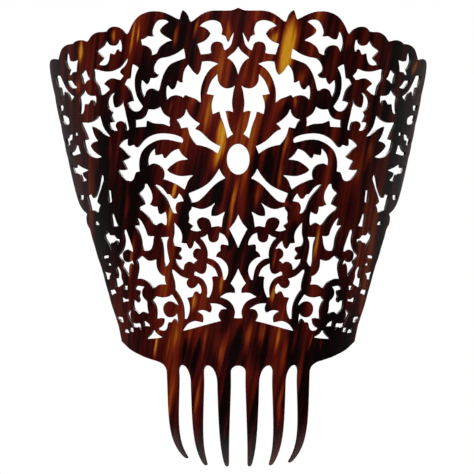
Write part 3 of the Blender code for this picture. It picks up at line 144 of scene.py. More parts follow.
# openings cut once on each side
HOLES = {
    "rim_a": """2.5,117! 3,114 3.5,112 4,110 5,108.5 6.5,107.2 7.7,106.6! 8.3,108 8.8,110 10,111.2
    12,111.6 14,111.2 15.3,110 15.9,108 15.8,106.3 15.5,105.1! 18,104.6 21.3,104.3! 22,106
    22.5,108 23.5,110.3! 21,111.2 19,112.2 17.3,113.8 16.3,115.2 15.8,116.3! 17,118 19,119.6
    22,120.6! 20.5,122 18,123.2 15,123.8 12.5,123.4 10.5,122.2 9.6,120.3 9.2,118.3 9.4,116.5
    9.8,115.6! 8.5,115.1 7.2,114.3 6.7,112.8 5.9,111.2 5,112.2 4.3,113.8 3.2,115.6""",
    "leaf_drop": """11.5,98.8! 14,99.8 17,100.4 20.7,100.2! 21.2,98 21.5,96 22.3,94 23.5,92.4!
    25,93.5 26.5,95 27.8,96.8 29,98.5! 30.3,97 31.5,94.5 32,92 32.2,90 32.1,88.5! 33.5,88.4
    35.4,89.5! 36,87.3 37,85.3 38.3,84.5 39.5,84.8 40.3,85.8 41.2,86.9! 41.8,86.3 42.2,84
    42.1,81 41.6,78.9! 40.5,80 39,80.8 36.5,81.3 34,81 32.7,80.6 31.8,79.9! 31.2,81.1!
    30,81.2! 27,80 24.5,79.1 21.6,76.9! 21.7,79.5 21.8,82.5 21.2,86.2 19.9,90 18.2,93.2
    16,95.9 13.5,97.8""",
    "arch_b": """31.7,108! 33.5,106.7 36,105.2 39,104 42,103.2 45,102.8 47,102.2 48.7,100.7
    49.8,98.9 50.3,97 49.8,95.3 48.3,94.2 47.3,93.4! 48,92.2 49.5,91.4 51.5,91.3 52.7,91.4!
    53.2,90 54,88.6 54.9,87.9 56,88.6 57.2,89.8 58.5,90.5! 58.9,88 58.7,85.5 58,83 56.7,80.5!
    56,82 55.3,83.7 54,84.9 52,85.5 50,85.3 48.5,84.5 47.2,84! 46.5,85.5 45.8,88.5 45,91
    43.7,94 41.8,97 39.8,99 37,100.3 34,101.3 30.7,102.3! 31,105""",
    "arch_e": """60.2,97.5! 62,98.8 64.3,99.7! 64.9,97 65.3,94 65.8,91.8! 67.8,91.4 68.8,90.5
    69.8,88.8! 67.5,87 65.6,84.7 64.5,82 63.5,78.6! 65,78.5 67.8,77.7! 66.5,75.5 64.5,73.7
    62.5,72.6 60.5,72.7 58.8,73.8 57.6,75.2! 59,77 60.5,79 61.8,81.5 62.8,85 63.1,88.5
    62.9,91.5 62.2,94 61,96.3""",
    "rim_c": """72.7,114! 73.7,114.1 74.5,112.5 76,111.3 78,111 80.5,111.4 82,112.5 83,114!
    84,113 85.5,111.3 88,110 91,108.8! 89,107.3 87.5,106 85.7,104.4! 87,103.2 88.6,102.2
    90,101.4! 88.5,100.4 86,100.1 84,100.4 82.4,101.8 81.5,103.8 81.2,105.5 80.8,106.6!
    79.5,106.7 78.3,106.3 77.3,106! 76.5,107.3 75.5,108.6 74,108.9 72.9,107.8 72.3,107.4!
    71.9,109 72,111.5""",
    "star_a": """99,92.6! 100.5,94.1 101.5,95.8 102.6,98.1! 104,97.2 105.5,96.4 106.7,96!
    105.8,94.7 105.1,93.2 104.8,91.5 104,90.2! 103,91.2 101.5,91.9""",
    "star_b": """105,87.2! 106.3,85.2 108.3,83.9 111,82.8! 110.5,81 110.4,78.5 110.8,76
    112,73! 110,72.7 108,73.5 106.7,75.5 106.1,77.6 105.2,78.4 104,78.4 102,78.1 100.8,78.9
    99.5,80.1 97.5,80.5 96.2,79.9 95.5,78.3 95.1,76.8! 94.4,78.5 94,80.5 94.1,82 94.6,82.8!
    97.5,82.7 100,83 102.5,84.1 104,85.8""",
    "rim_d": """110.3,104.5! 113,104.1 116.5,103.9 119.4,104.4! 120,106.2 120.2,108 121.3,109!
    122.4,107 122.9,104.6 122,102.4 120.5,100.8 118.6,99.4! 120,98.2 120.9,97.1! 120,96.1
    118.8,96.5 117.4,97.4 115,97.6 112.5,97.8! 111.9,100.6 111,103""",
    "slit_a": """113.2,88.4! 116,89.8 118,91.5 119.5,92.6 124.3,93! 121.8,91.5 120,90.2
    118,88.9 115.5,88.1""",
    "rim_e": """118,83.2! 120.5,84.2 123.5,85.5 127,87.5 130.5,90.5 133.5,93.7 136,96.3!
    140,97 143,97.2 146.5,96.9! 145.6,94.2 145,91.5! 142.5,90.5 139.5,89.8 138.3,87.5
    137.5,84.8 136,83.2 134.5,83.2! 133.3,85 132.2,86.5! 130.3,87 128.5,86.6 126,85
    124.3,82.8 122.2,81! 120.3,82""",
    "flame": """1.8,86.6! 3,85.5 5,84.9 7,84.8 9,85.5 10.6,87 11.6,89 11.9,91 12,93! 13.5,91.3
    15,89.5 16.3,87 17.2,84.5 18,81.8! 16,81.4 13.8,81! 14.3,79.5 14.9,77.5 15.2,75 15,72.5
    14.5,70.2! 13,70.8 11.5,71.5 10.5,71.4! 10,69 9,66.5 8.1,64 7.3,61.5 6.8,59 6.2,56.4!
    4.8,57.5 3,58.7! 4.3,60.8 5.2,63 6,66 6.7,69 7.3,71.8! 5.5,72.1 3,71.3! 3.4,74 3.6,77
    3.3,80 2.7,83.5""",
    "petal_up": """30.2,73.2! 30.7,71 31.8,69.3 33.5,68 35.9,67.3! 34.6,65.8 33.7,64 33,62.3!
    31.5,62.5 29.3,63! 28.7,60.8 28,58.5 26.7,56.2 25.2,54.2 23.8,52.7! 22,52.5 20,52 17,51
    14,49.3 11.8,47.7! 10.9,50 10.2,51.7! 13,53 15.5,54.5 18,56.6 20,58.6 22,60.3 23.5,61.1
    25,61.6! 24,63 22.1,64.7! 24.5,66.2 27,68.3 29,70.6""",
    "bridge": """46.2,74.8! 48,73.8 50.5,73.3 54,73.5! 54.8,71.5 55.8,69.8 57.2,68.6 59,67.9
    61,67.7 62.6,67.5! 62.5,65.5 62.6,63.4! 60,63.5 57.5,63.5 55.6,63.6! 55.4,65.3 55.2,66.8!
    53.8,67 52,66.2 50,65.5 47.5,65.2 44.5,65 42.5,64.5 40.2,63.6! 40.5,66 40.2,68.3!
    42,69.3 44,70.8 45.3,72.8""",
    "crescent": """32.6,54! 32.1,55.3 33,56.8 35.5,58 38,58.7 42,59.3 46,59.5 50,59 54,57.6
    57,55.8 59,54 60.8,52.2 62.3,51.7 63.5,52.3 64.4,53.2 66,53 67.8,52.6 68.8,53.2 69,55
    68.7,56.8! 71,56.3 73.5,55 75.8,53.2! 73.8,52.2 71.5,50.5 69.5,48.8 68,47.5 66.9,46.8!
    68.5,45.5 70.5,44.9 72.9,44.1! 71.5,42.5 70.6,41 69.6,39.2! 72,38.8 74.5,38.8 76.8,39.1!
    75.3,37.3 73.5,35.5 71.5,33.9 69.3,32.7 67.3,32.4 65.5,33.1 64.5,34.6 63.9,36.2 63,37.4
    61.5,37.7 60.5,38! 60.8,40.5 60.7,43.5 60,46.5 58.8,49 57,51 54.8,52.7 52,54.2 48.5,55.5
    45,56 41.5,55.9 38,55.3 35,54.5""",
    "leaf_side": """29.1,44.4! 31,45.6 33,47.5 34.3,49.5 35,50.5! 37,50 39.5,48.7 41.5,47
    43.5,45.2 44.3,45.7 44.8,47 45.3,47.7! 47.5,47.2 49.6,47! 50,49 49.8,51.1! 51.5,50
    53.5,48 54.6,45.5 54.9,43.5 54.5,41! 53,41.8 51,42.4 48.8,42.1 46.5,41 45,39.3 44.2,37
    44.3,35 44.8,33.3! 42,32.7 39,31.5 36,30.2 33.5,28.7 31.3,27.2! 30.3,29.5 29.3,32
    28,33.8 26,35.3! 28.5,35.2 31,34.9 34.5,34.9 37.5,35.7 40.5,37 42.2,38.5! 40.5,40.3
    38,42 35.5,43.4 32.5,44.1""",
    "petal_down": """10.9,39! 12,37 13.5,34.8 15.5,32.3 18,30 20.5,28.4 23.5,27 26.5,25.8
    28.7,25! 28.3,23.5 27.5,22 26.7,19.8! 25.3,19.9 23,20.7 21,22.3 18.5,24.7 16,27.5
    13.5,29.9 11,31.8 9,32.9 7.4,33.6! 8.5,34.8 9.8,36.6""",
    "curl_a": """7.7,14.4! 9.5,13.4 11.5,12.3 13.5,11.9 15.5,12! 15.6,14 15,16.5 13.2,19.6!
    15,18.2 17.5,16.8 20,16 22.5,16 25,16.7 26.8,17.2! 27.2,15.8 28.2,14.7 28.6,13 28.3,11
    28.7,8.5! 27.3,7.5 25.9,6.5! 26.8,5.3 27.7,4.3! 26,3.7 24,3.3 21.4,3.7! 22.7,5 23.7,7
    24,9 23,10.5 21,11.3 18.5,11.1 16.7,10 15.7,8 15.3,5.7! 13.5,6 11.5,6.3 9.6,5.7! 9.3,8
    8.8,11""",
    "fork": """50,30.3! 47.5,29.6 45,28 43.3,26 42,24.4! 40.7,24.5 39.6,23.5 38.8,22.3
    37.5,21.8 36.3,22.3 35.6,23.5 34.7,25! 33.5,23.7 32.5,22 31.9,20.6! 34,20.3 35.8,19.7
    36.8,18 37,16.3 36.5,14.5 36,13.6! 37.5,13.8 38.8,15 40,17 41,19.5 42,21.5 43.5,23.7
    45.5,25.7 47.5,27.8""",
    "star_c": """55.3,30.4! 56.8,30.7! 57.3,28.5 58.5,27 60.9,25.3! 59.3,23.8 58,22 57,20
    56.7,18.9! 58.5,18.2 60.9,17.2! 60,16 57.5,14.5 55,12.5 52.7,10 51,8 49.3,6.9! 48,7.7
    46,8.4 44.5,7.9 42.8,6.8! 42.5,9 42.7,12 43.2,14.4! 44.5,13.8 46,13.1 47.3,13.3 48.2,15
    48.6,17.4! 50.5,17.4 52,17.9 53.8,18.8! 52.8,20 52,22 52,24 52.7,26.3 54,28.5""",
    "horn": """62.4,11.1! 60.3,9.5 58.3,6.8 56.7,3.8 55.7,1.2 54.5,0.5 51,0.5! 51.5,-1.5
    52,-4.5 53.3,-7 55.5,-7.9 57.8,-7.5 58.9,-5.5 59.3,-2.5 60,0.2 61,2.5 62.5,4.7 64.6,6.6!
    62.5,6.6 61,6.7! 61.3,8.5""",
    "disc_side": """73.3,4.4! 74.2,3 73.6,0.5 73.3,-2 74,-5 75.4,-7.5 77.2,-9.3 79.9,-10.9!
    77.5,-12.4 75.8,-13.6 75.1,-14.8! 75.8,-15.8 76.5,-16.7! 74.9,-18.2 73.2,-19.8 71.8,-21.5
    70.8,-22.9! 71,-21 70.9,-19.6 70.6,-17.8 70,-16.2 68.9,-15.2 66.7,-15.8! 67.3,-14.5
    68.3,-13! 69.5,-14.2 71.5,-14.7 73.5,-14.4 74.9,-13.4 75.8,-11.8 76,-10 75.3,-8.8
    73.8,-7.8 71.3,-7.2 69.3,-7.5 67,-8.5! 67.3,-6.5 68.5,-3.5 69.8,-0.5 71,2 72.2,4.2""",
    "kite": """59.8,-11! 61.5,-12.3 63.3,-13.3! 62.3,-15 62,-17.5 62.3,-20 63,-22.3 63.7,-24.2!
    61,-24 58.5,-24.3 56,-25.2 54,-26.5 52.5,-28.2 51.5,-29.3! 50.3,-28.7 49,-27.8
    46.5,-27.2 43.2,-27.2! 44,-25.3 44.1,-22.6! 46,-22 48,-20.3 49.3,-18 49.8,-15.5
    49.8,-13! 51.5,-13.5 54,-13.8 56.5,-13.2 58.3,-12""",
    "reed": """41.3,0! 44,-0.1 46.1,-0.2! 45.1,-2.5 44.5,-5 44.2,-8 44.1,-11 43.9,-14
    43.2,-16.9! 42,-15.8 41,-14! 41.6,-11.5 42.3,-8 42.6,-5 42.4,-2.5""",
    "hook": """5.7,-4.7! 6,-2.5 7,-0.5 8.3,1.2 10.7,2.4! 11,0.5 11.2,-1 12,-2.3 13.5,-3.1
    15,-3.1 16.5,-2.3 17.2,-1 17.5,0.5 17.7,1.6! 19,0.5 21.9,-0.5! 20.3,-2 19,-4 18,-6.3
    17.5,-8.5 17.4,-10.5 17.6,-11.9! 15,-12.5 13,-13.7 11,-15.7 9.7,-18 9,-20.5 8.6,-22.8
    8.3,-24.4! 7.4,-24.4! 6.4,-22.3 5.8,-19.7 6,-17.3 6.9,-15.2 8.5,-13.4 10.5,-12 12.9,-11.3!
    12.5,-10 11.5,-8.7 10.2,-7.8! 10.3,-5.8 9.9,-4.2! 8,-4.2""",
    "sickle": """18.1,-15.2! 16.5,-16 14.5,-17.2 13,-19 12.2,-21 11.7,-22.4! 13.5,-22.3
    15.2,-22.8! 14.8,-25 14.7,-27.5 15,-30 15.7,-32.3 16.7,-34.4! 18,-34.3! 17.7,-31.5
    18,-28.5 19,-26 20.5,-24 22.5,-22.7 25.3,-21.8! 25.5,-20.8 24.6,-19.7! 23,-20.7
    21,-21.2 19.3,-20.6 18.4,-19 18,-17.2""",
    "swirl": """39,-18.6! 37.5,-19.5 35.5,-21.2 33.5,-22.5 31.5,-23.3 29.1,-23.9! 30,-25
    30.3,-26.7 29.5,-28.3 28,-29.3 26.5,-29.4 25,-28.8 23.8,-27.6 23.1,-26.5! 21.9,-28
    21.4,-30 21.4,-31.3 21.9,-32.4! 22.8,-31.6 24.3,-30.9 25.5,-31.5 26.2,-33 26.8,-34.2!
    28.5,-34.4 30,-34.8! 29.2,-36.5 28.5,-39 28.4,-41.5 28.9,-44 29.7,-46 30.3,-46.9!
    31.2,-46.6! 31.3,-43 31.6,-40 32.5,-37 34,-34 35.5,-31.8 37,-30! 37,-28 37.5,-25
    38.5,-22 39.1,-20""",
    "stem_gap": """37.8,8.4! 37.7,5 37.7,2 38.2,0 38.5,-1.5 38.3,-3.3 37.3,-4.8 35.5,-5.4
    34,-5.6 33.3,-6.5 33.5,-7.8 34.9,-9.4! 33.8,-10.7 33,-12.2 33.8,-13.1 35.3,-13
    37,-12.6! 36.5,-14.5 35.5,-16 34,-17.6 32,-18.7! 31.9,-17 31.2,-15.5 30,-14.5 28.3,-14
    26.8,-14.4 25.8,-15.2! 25,-14.2 23.7,-13.3! 25,-12.3 26,-11.3 26.4,-9.7 26,-8 25,-6.9
    23.7,-6.4 21.6,-6.8! 23,-4.7 25.5,-2.2! 26,-4 26.7,-5.7 28,-6.8 29,-6.2 29.8,-4.8
    30.3,-3.7! 32,-3.6 33.5,-3.3! 33.1,-2 32.9,0 33.2,2 34.2,4.2 35.8,6.2""",
    "foot_a": """16,-37.9! 13,-38 10.5,-38.6 8.5,-39.7 6.4,-41.1! 8.5,-41 10,-41.6 11,-43
    11.4,-44.7 11,-46.3 10,-47.8! 14,-48.8 18,-49.9 22,-51 26,-52.1 32.4,-53.7! 31,-51.7
    29.5,-50 27.5,-48.8 25,-48.1 22.5,-48.5 20.3,-49! 20,-47 20.3,-45 21.5,-43.6 23.5,-42.5!
    22,-42 20.5,-41.8 18.5,-42.2 17,-43 16,-43.2! 15.3,-42 15.2,-40""",
    "foot_b": """39.5,-32.9! 41,-33.8 43,-34.5 46,-34.8 49,-34.4 50.5,-34.1! 51.5,-35.3
    52.9,-36.3! 51.3,-38 50.3,-40 49.8,-42.5 49.9,-45 50.1,-47! 48.5,-46.8 46.5,-46.5
    44.9,-46.8! 45.1,-49 46,-50.8 47.5,-52 49.1,-52.6! 47.5,-53.5 45.8,-53.9 44,-53.4
    42.9,-52 42.5,-50 41.7,-48.9 40,-49! 39.2,-47.9 37.8,-46.8 36.8,-47.3 35.6,-49.6!
    35.9,-46.5 36.4,-43.6! 37.5,-45 39,-45.9 40.8,-46.2 42.8,-45.8 44.5,-44.3 45.4,-42.3
    45.4,-40.3 44.5,-38.5 42.8,-37.3 40.7,-36.8 38.5,-37.3 36.8,-38.3 35.4,-39.1!
    36.3,-37.3 38,-35""",
    "foot_c": """58.9,-28.8! 61,-28.5 63.5,-28.3 65,-29 66,-30.2! 64,-30.5 62.3,-31
    62.2,-32.5 63,-34.3! 62.4,-35.5 62.3,-36.7 63,-37.8 64.3,-38 65.5,-37.3 67,-36.7
    67.6,-37.8 67.5,-40 66.8,-41.8 65,-43 62.8,-44.6! 61.7,-43.6 60,-43.2 58,-43.4 56,-44.1!
    56.6,-42 56.9,-39.5 57,-37.5 57.6,-36.7 59.3,-35.5 60.6,-33.5 60.8,-31.5 60.2,-30.2""",
    "foot_d": """70.3,-42.2! 71.8,-42.8 74.3,-44.5! 73.3,-45.8 72.3,-47.3 71.1,-48.8
    70.1,-50.3 69.3,-52! 67.5,-52.2 66,-52.6 64.5,-52 63.4,-52.5 62.2,-53.9! 62.5,-52
    63,-50.3 64.3,-50 66.3,-50.3 68.8,-50 70.3,-48 71.4,-45.8 71.2,-44""",
    "foot_e": """46.2,-57.8! 48.5,-56.7 50.5,-55.5 51.9,-53.8! 52.8,-55.3 54.5,-57 57.3,-58.9!
    53,-58.6 49.5,-58.2""",
    "foot_f": "59.2,-48.6! 57.5,-49.3 56,-50.3 55,-51.6! 57,-51.5 58.6,-51.3! 58.8,-50",
    "foot_g": "69.6,-52.9! 71.8,-53! 70.8,-54.3 69,-55.3!",
    "foot_h": "73.2,-56! 74.4,-54.4 75.5,-53.8! 76.4,-54.5 77.7,-54.9! 76.2,-55.6 74.7,-55.9",
    "edge_a": """72.2,-36! 74.6,-36.4 76.5,-35.6 78.3,-35.3! 77.8,-36.9 77.7,-38.2! 75.5,-37.6
    72.4,-37.4!""",
    "edge_b": "72.8,-28.3! 75,-28.6! 74.4,-29.6 73.1,-30.8!",
    "edge_c": """80.8,-17.4! 81.4,-18 80.4,-20 80,-22.6 80.7,-24.1! 83,-24.3! 82.7,-26.4
    82.2,-29.3! 80,-28.7 78.5,-28.1 76.7,-27.2! 77.3,-25.4 78,-24.2 78.3,-22.5 78.2,-20.8
    79.2,-18.9""",
    "edge_d": """78.3,-1.3! 80.5,-1.1 82.2,0.2 83.3,1.1! 85.2,0.9 87,1 88.4,2.2 89.5,3.8!
    91,2.1 93.5,0.8! 92.3,-1.1 90.6,-2.7 88.8,-4.3 87.6,-6.3 86.6,-8.2! 86.5,-6.9 87,-5
    86.9,-3.7 85.6,-3.3 83.7,-3.1 82.5,-2.3 81,-1.9 80,-3 79.3,-4.5! 78.5,-3.2""",
    "edge_e": "90.4,-10.8! 93,-10.9 96,-11.4! 95.3,-12.8! 93,-12.4 90.7,-12.3!",
    "edge_f": "88.2,-16.5! 89.5,-15.5 90.8,-15.8! 89.6,-16.7",
    "edge_g": "89,-21.4! 92.5,-21.1 96.2,-20.5! 94.8,-22.6 94.2,-24.9! 91.4,-24.8! 91,-22.9",
    "edge_h": "84.6,-32.9! 86,-30.8! 91,-31.4! 90.2,-34.2! 88,-33.5 86.5,-33.2",
    "edge_i": """78.6,-49.9! 79.4,-47.2 81.4,-46.8 83.5,-46.5 85.5,-45.4! 84,-46.9 81.3,-48
    80,-49.2""",
    "wing_a": """91,71! 93.5,69.3 97,68 101,67.4 105,67.3 110.2,67.7! 108,64.8 106,62.3
    104.5,59.9 103.3,57.7! 105.5,57.4 108.4,57.2! 107.8,55 107.2,53 106,51 103.5,49.2
    100.7,47.7 97.3,46.7 94.5,46.4 91.1,46.9! 94.3,48.1 97.2,49.5 100,51.3 102.3,53.4!
    101,54.7 98.7,55.6 94.2,56.3! 95.7,57.6 97.4,59.8 98.7,62.3 99.5,64.8! 96.3,64.7 93,63.9
    90,62.4 87,60.5 82.8,58.6! 85,60.5 87.5,63 89.3,66 90.3,69""",
    "inner_a": """71,79.5 72.3,77.5! 74,76.2 76,75.4 78.2,75.2! 79,77 79.5,79.5 79.3,82
    77.6,83.9! 80,83.3 82,81.7 83.3,79.8 83.6,77.5 82.8,75.3 81,73.7 79.7,72.8! 80.5,71.8
    81.1,70.8! 80.3,69 79.5,67.9 79,66.8! 80.8,66.8 83,66.6! 82.5,65 81,63.3 79.3,62.3
    77,61.7 76.6,62.1! 77.8,64 77.8,65.3 76.8,66.5 75,67.2 72.8,67.3 71,66.7 70,65.3
    69.6,63.6 69.4,62.2 68.6,61.8 67.8,62.4 68.2,65 69,68 69.8,71 70.6,74.5 71.5,77!""",
    "wing_b": """116.1,49.5! 117.4,51.6 118.6,54.8! 121,54 122.7,52.5 125.3,51.5 128.3,51
    132.3,50.5! 130,49.3 126.5,48.8 121.3,49.1""",
    "wing_c": """126,61.1! 128.7,61.3 132.3,60.9 133.7,60 137,59.4 141,59.2! 139.5,57.8
    138.5,56.2 135,55.1 133,55.3! 133.7,57 132,57.8 129.2,57.9 127.5,58.6""",
    "wing_d": """107,39.4! 111,40.3 115,41.1 118.5,42 122,43 125.3,43.5! 126.5,41.9
    128.3,41.3 133,42 138,43.2! 134.5,41 131,39.3 128.5,38.3 124.5,37.9 120,37.3 118.5,35.7
    117.3,33.8 115.5,33.1 110.5,33.6! 113.3,35 115.2,36.3 115.8,37.8 113,38.5""",
    "wing_e": """92,36.8! 93.4,34.5 94.4,32 95.6,29.3 97.6,26.5 99.3,24.5 101,23.4 103,23
    105,23.6 105.8,25.3! 108,25 111,24.7! 109.8,22.5 109,20 108.2,18 107.6,15.9! 105,15.8
    102.5,15.6 99.5,14.8 98.4,14.6! 97.5,16.7 96.9,17.6 95.6,18.6! 97.2,19.4 99.3,20.6!
    98.7,22 97.8,23.3 96.2,25.5 94.2,28 92.4,30.8 90.7,33.5 90.8,35.5""",
    "wing_f": "118.3,24.7! 121.5,25.1 126,24.8! 123.5,23.2 120.3,22.1!",
    "wing_g": "98.8,7.2! 101,9 103.3,9! 101,7.2",
    "slit_b": "84.5,27.5! 85.7,27! 85.4,23.5 84.9,20! 83.8,20.8! 84.1,24",
    "slit_c": "82.7,13.6! 83.4,12.5 82.8,9 82.6,6.3! 80.5,6.2 79,6.5! 80.3,8.5 81.5,11",
    "slit_d": "117.8,60.3! 118.2,62.1! 120.4,62! 120.2,60.3!",
    "wing_h": "137.5,78.3! 140.5,79.4 147,79.3! 144.5,76.6 141,76.1 139,76.7",
    "wing_i": "129.7,71! 136,72.8 144.5,73.3! 142,70.3 138,68.8 133,67.5 130.5,67.5 129.3,69",
}

# openings whose two sides differ: their points with a gap, and what fills it (left, right)
ODD_HOLES = {
    "rim_b": (
        """40.8,123.3! 42.5,124.3 45,124.7 47.3,124.2 49,122.5 50.2,120 50.7,118 50.4,116.5
        49.8,115.6! 51.5,115.2 53.7,115.5 55,114.8 56.5,114.1 %s 54.5,110.2 52.5,109
        51.3,107 51.1,104.6! 49.5,105 48,105.8! 47.3,107.5 46,109.3 43.5,111 41.5,112
        38.8,112.6! 41,114 43.5,115.4 45.5,117 46.2,118.5 45,120.3 42.8,122""",
        "58.4,113.7! 57.9,112 57.4,110.6!",
        """58.3,113.7! 59.5,114 60.3,115.5 60.9,117.5 61.3,118.5! 62.3,117 63.2,114.5
        63.4,112 63,110 62.2,107.8 61.8,107! 61,108.7 59.8,110 57,110.5""",
    ),
    "arch_c": (
        """71,93.2! 72.5,91.9 73,91.1! 75.5,91.8 78.5,92.3 81.5,92 84,91 86.6,89.2! 84.5,88
        82.5,86.5 81.9,85.7! 84,84.6 86,83.4 88.5,82.8! 89,85 89.8,87.8 91.3,89.8 93,91.5
        93.7,93 93.6,96 94.1,98.2! 91,97.5 88,96.8 84.5,96.3 81,96.3 78,96.6 75.5,97.3 %s""",
        "73,98.3 71,99.8 69,102 67.5,103.2! 68.5,100.7 70.3,98.6 72.7,97 73.5,95.5",
        "74.4,97.5! 74,96.2 73,95",
    ),
}

STREAK_LEAN = 0.2             # streaks lean to the right as they rise

# Located streaks of the shell: u, z, half width, half height, and how much brighter (or, when
# negative, darker) than the ground they are.
STREAKS = (
    # the crest's middle
    (0, 75, 34, 62, 0.12), (28.8, 110.5, 7.4, 26, 0.62), (21, 114, 3, 6, 0.32),
    (20.5, 123, 2, 6, 0.35), (-5.4, 116, 2, 8, 0.28), (-24, 119, 1.8, 9, 0.5),
    (-35.6, 116, 2.2, 9, 0.4), (-8.5, 100, 3, 14, 0.08), (4, 100, 5, 12, -0.1),
    (18.5, 88, 1.8, 14, 0.32),
    (-9.8, 55, 4, 22, 0.66), (-17.5, 66, 3, 18, 0.2), (15, 58, 5, 20, 0.1),
    (28, 54, 1.8, 15, 0.38), (33, 78, 1.5, 5, 0.35), (37, 91, 2.5, 6, 0.25),
    (-39, 75, 1.5, 7, 0.28), (-41, 115, 3, 7, -0.2), (8.3, 118, 1.6, 7, -0.25),
    (-21, 82, 1.7, 13, -0.25), (0.5, 75, 3, 14, -0.14), (26, 70, 4, 7, -0.25),
    (34, 64, 2, 8, -0.2), (-25, 72, 5, 8, -0.2), (-14, 44, 2.4, 9, 0.3),
    (-3.2, 17, 2, 21, 0.4), (9, 42, 3.4, 34, -0.34), (12, 24, 3, 13, 0.12),
    (24.5, 34, 2, 13, 0.35), (12, 25, 2.5, 10, 0.22),
    (17, 42, 4, 12, -0.2), (-37.5, 27, 2, 7, 0.42), (-39.5, 14, 2, 10, 0.36),
    (-31.5, 10, 5, 16, -0.32), (-11, 26, 3.5, 10, -0.28), (28, 19, 4, 3, 0.2),
    (20.5, -12, 2, 8, 0.36), (19.5, -33, 2.3, 9, 0.52), (3.5, -10, 2.5, 12, 0.12),
    (8, -12, 2.5, 12, -0.28), (-4, -3, 2.5, 6, -0.28), (-9.4, -26, 1.6, 8, 0.36),
    (-25.5, -37, 2.2, 7, 0.38), (12, -27, 3, 9, -0.24), (47, -5, 1.9, 11, 0.32),
    (31.5, 2, 4, 12, -0.32),
    # its right side
    (97, 95, 1.6, 20, 0.28), (86, 48, 3, 12, 0.42), (134, 102, 7, 6, 0.5),
    (68, 115, 3, 8, 0.2), (60, 80, 5, 14, -0.2), (72, 20, 6, 20, -0.18),
    (52, 105, 4, 10, -0.14),
    # its left side
    (-60, 118, 1.6, 7, 0.4), (-65, 115, 1.2, 11, 0.25), (-78, 118, 3, 5, 0.34),
    (-107, 109, 4.5, 8, 0.5), (-112, 90, 4, 6, 0.3), (-43, 10, 2, 7, 0.2),
    (-68, -12, 2.2, 17, 0.42), (-96, 44, 2, 9, 0.22), (-84, 53, 2, 9, 0.22),
    (-71, 17, 2, 9, 0.22), (-62, 75, 5, 14, -0.2), (-55, 30, 5, 18, -0.16),
    (-140, 60, 34, 62, -0.12), (-84, 0, 26, 58, -0.1), (140, 60, 34, 62, -0.05),
    (82, 0, 26, 56, 0.13),
    # the band and the teeth
    (0, -67, 52, 10, -0.1), (0, -104, 50, 26, -0.07), (33, -60, 1.8, 13, 0.28),
    (-9, -67, 2.6, 16, 0.46), (-12, -64, 4, 10, 0.2), (-20, -62, 1.4, 14, 0.22),
    (-23.8, -93, 1.9, 18, 0.33), (-29, -56, 1.6, 10, 0.2), (-37, -60, 1.4, 11, 0.16),
    (-43, -63, 1.2, 10, 0.16), (-50.5, -62, 1.6, 9, 0.48), (5.5, -58, 2.2, 14, 0.4),
    (14, -54, 2.2, 11, 0.38), (5, -74, 2.5, 12, 0.1), (22.5, -60, 1.5, 12, 0.2),
    (27.8, -68, 3.2, 15, 0.27), (25.4, -91, 2.4, 18, 0.46), (35.8, -83, 1.6, 27, 0.29),
    (44.3, -58, 0.9, 8, 0.36), (51, -61, 0.9, 7, 0.36), (-1, -60, 3, 15, -0.4),
    (-7.5, -89, 2.4, 21, -0.36), (15.5, -63, 2.5, 13, -0.34), (10, -96, 1.8, 24, -0.36),
    (-24.5, -68, 1.8, 16, -0.34), (-32, -65, 1.5, 10, -0.3), (-39.8, -90, 2.6, 14, 0.15),
    (-41.5, -101, 1.4, 7, 0.15), (-7.5, -108, 1.5, 11, 0.2), (24, -104, 2, 9, 0.2),
)


# ---- drawing the outlines ---------------------------------------------------------------------

def cone_radius(z):
    """Radius of the front face at height z: a cone that ends in a straight tube."""
    high, low = Z_EASE
    fall = np.clip(high - z, 0.0, high - low)
    along = np.maximum(z, high) - fall + fall ** 2 / (2 * (high - low))
    return R_LOW + (R_TOP - R_LOW) * (along - Z_LOW) / (Z_TOP - Z_LOW)


def cone_slope(z):
    """How fast the radius grows with height."""
    high, low = Z_EASE
    return (R_TOP - R_LOW) / (Z_TOP - Z_LOW) * (1 - np.clip((high - z) / (high - low), 0, 1))


def read_points(text):
    """Points and corner flags of one outline."""
    rows = []
    for token in text.split():
        sharp = token.endswith("!")
        u, z = token.rstrip("!").split(",")
        rows.append((float(u), float(z), sharp))
    return rows


def curve_run(points, steps=7):
    """Smooth curve through an open run of points (centripetal Catmull-Rom)."""
    if len(points) == 2:
        return list(points)
    pts = [Vector(p) for p in points]
    ends = [pts[0] * 2 - pts[1]] + pts + [pts[-1] * 2 - pts[-2]]
    out = []
    for i in range(1, len(ends) - 2):
        p0, p1, p2, p3 = ends[i - 1:i + 3]
        d1 = max((p1 - p0).length, 1e-6) ** 0.5
        d2 = max((p2 - p1).length, 1e-6) ** 0.5
        d3 = max((p3 - p2).length, 1e-6) ** 0.5
        m1 = ((p1 - p0) / d1 - (p2 - p0) / (d1 + d2) + (p2 - p1) / d2) * d2
        m2 = ((p2 - p1) / d2 - (p3 - p1) / (d2 + d3) + (p3 - p2) / d3) * d2
        for k in range(steps):
            t = k / steps
            p = (p1 * (2 * t ** 3 - 3 * t ** 2 + 1) + m1 * (t ** 3 - 2 * t ** 2 + t)
                 + p2 * (3 * t ** 2 - 2 * t ** 3) + m2 * (t ** 3 - t ** 2))
            out.append((p.x, p.y))
    out.append(tuple(points[-1]))
    return out


def fewer(run, tol):
    """The same open run with only the points it needs to stay within tol."""
    if len(run) < 3:
        return list(run)
    (ua, za), (ub, zb) = run[0], run[-1]
    du, dz = ub - ua, zb - za
    size = math.hypot(du, dz)
    worst, at = 0.0, 0
    for i, (u, z) in enumerate(run[1:-1], 1):
        if size > 1e-9:
            off = abs((u - ua) * dz - (z - za) * du) / size
        else:
            off = math.hypot(u - ua, z - za)
        if off > worst:
            worst, at = off, i
    if worst <= tol:
        return [run[0], run[-1]]
    return fewer(run[:at + 1], tol)[:-1] + fewer(run[at:], tol)


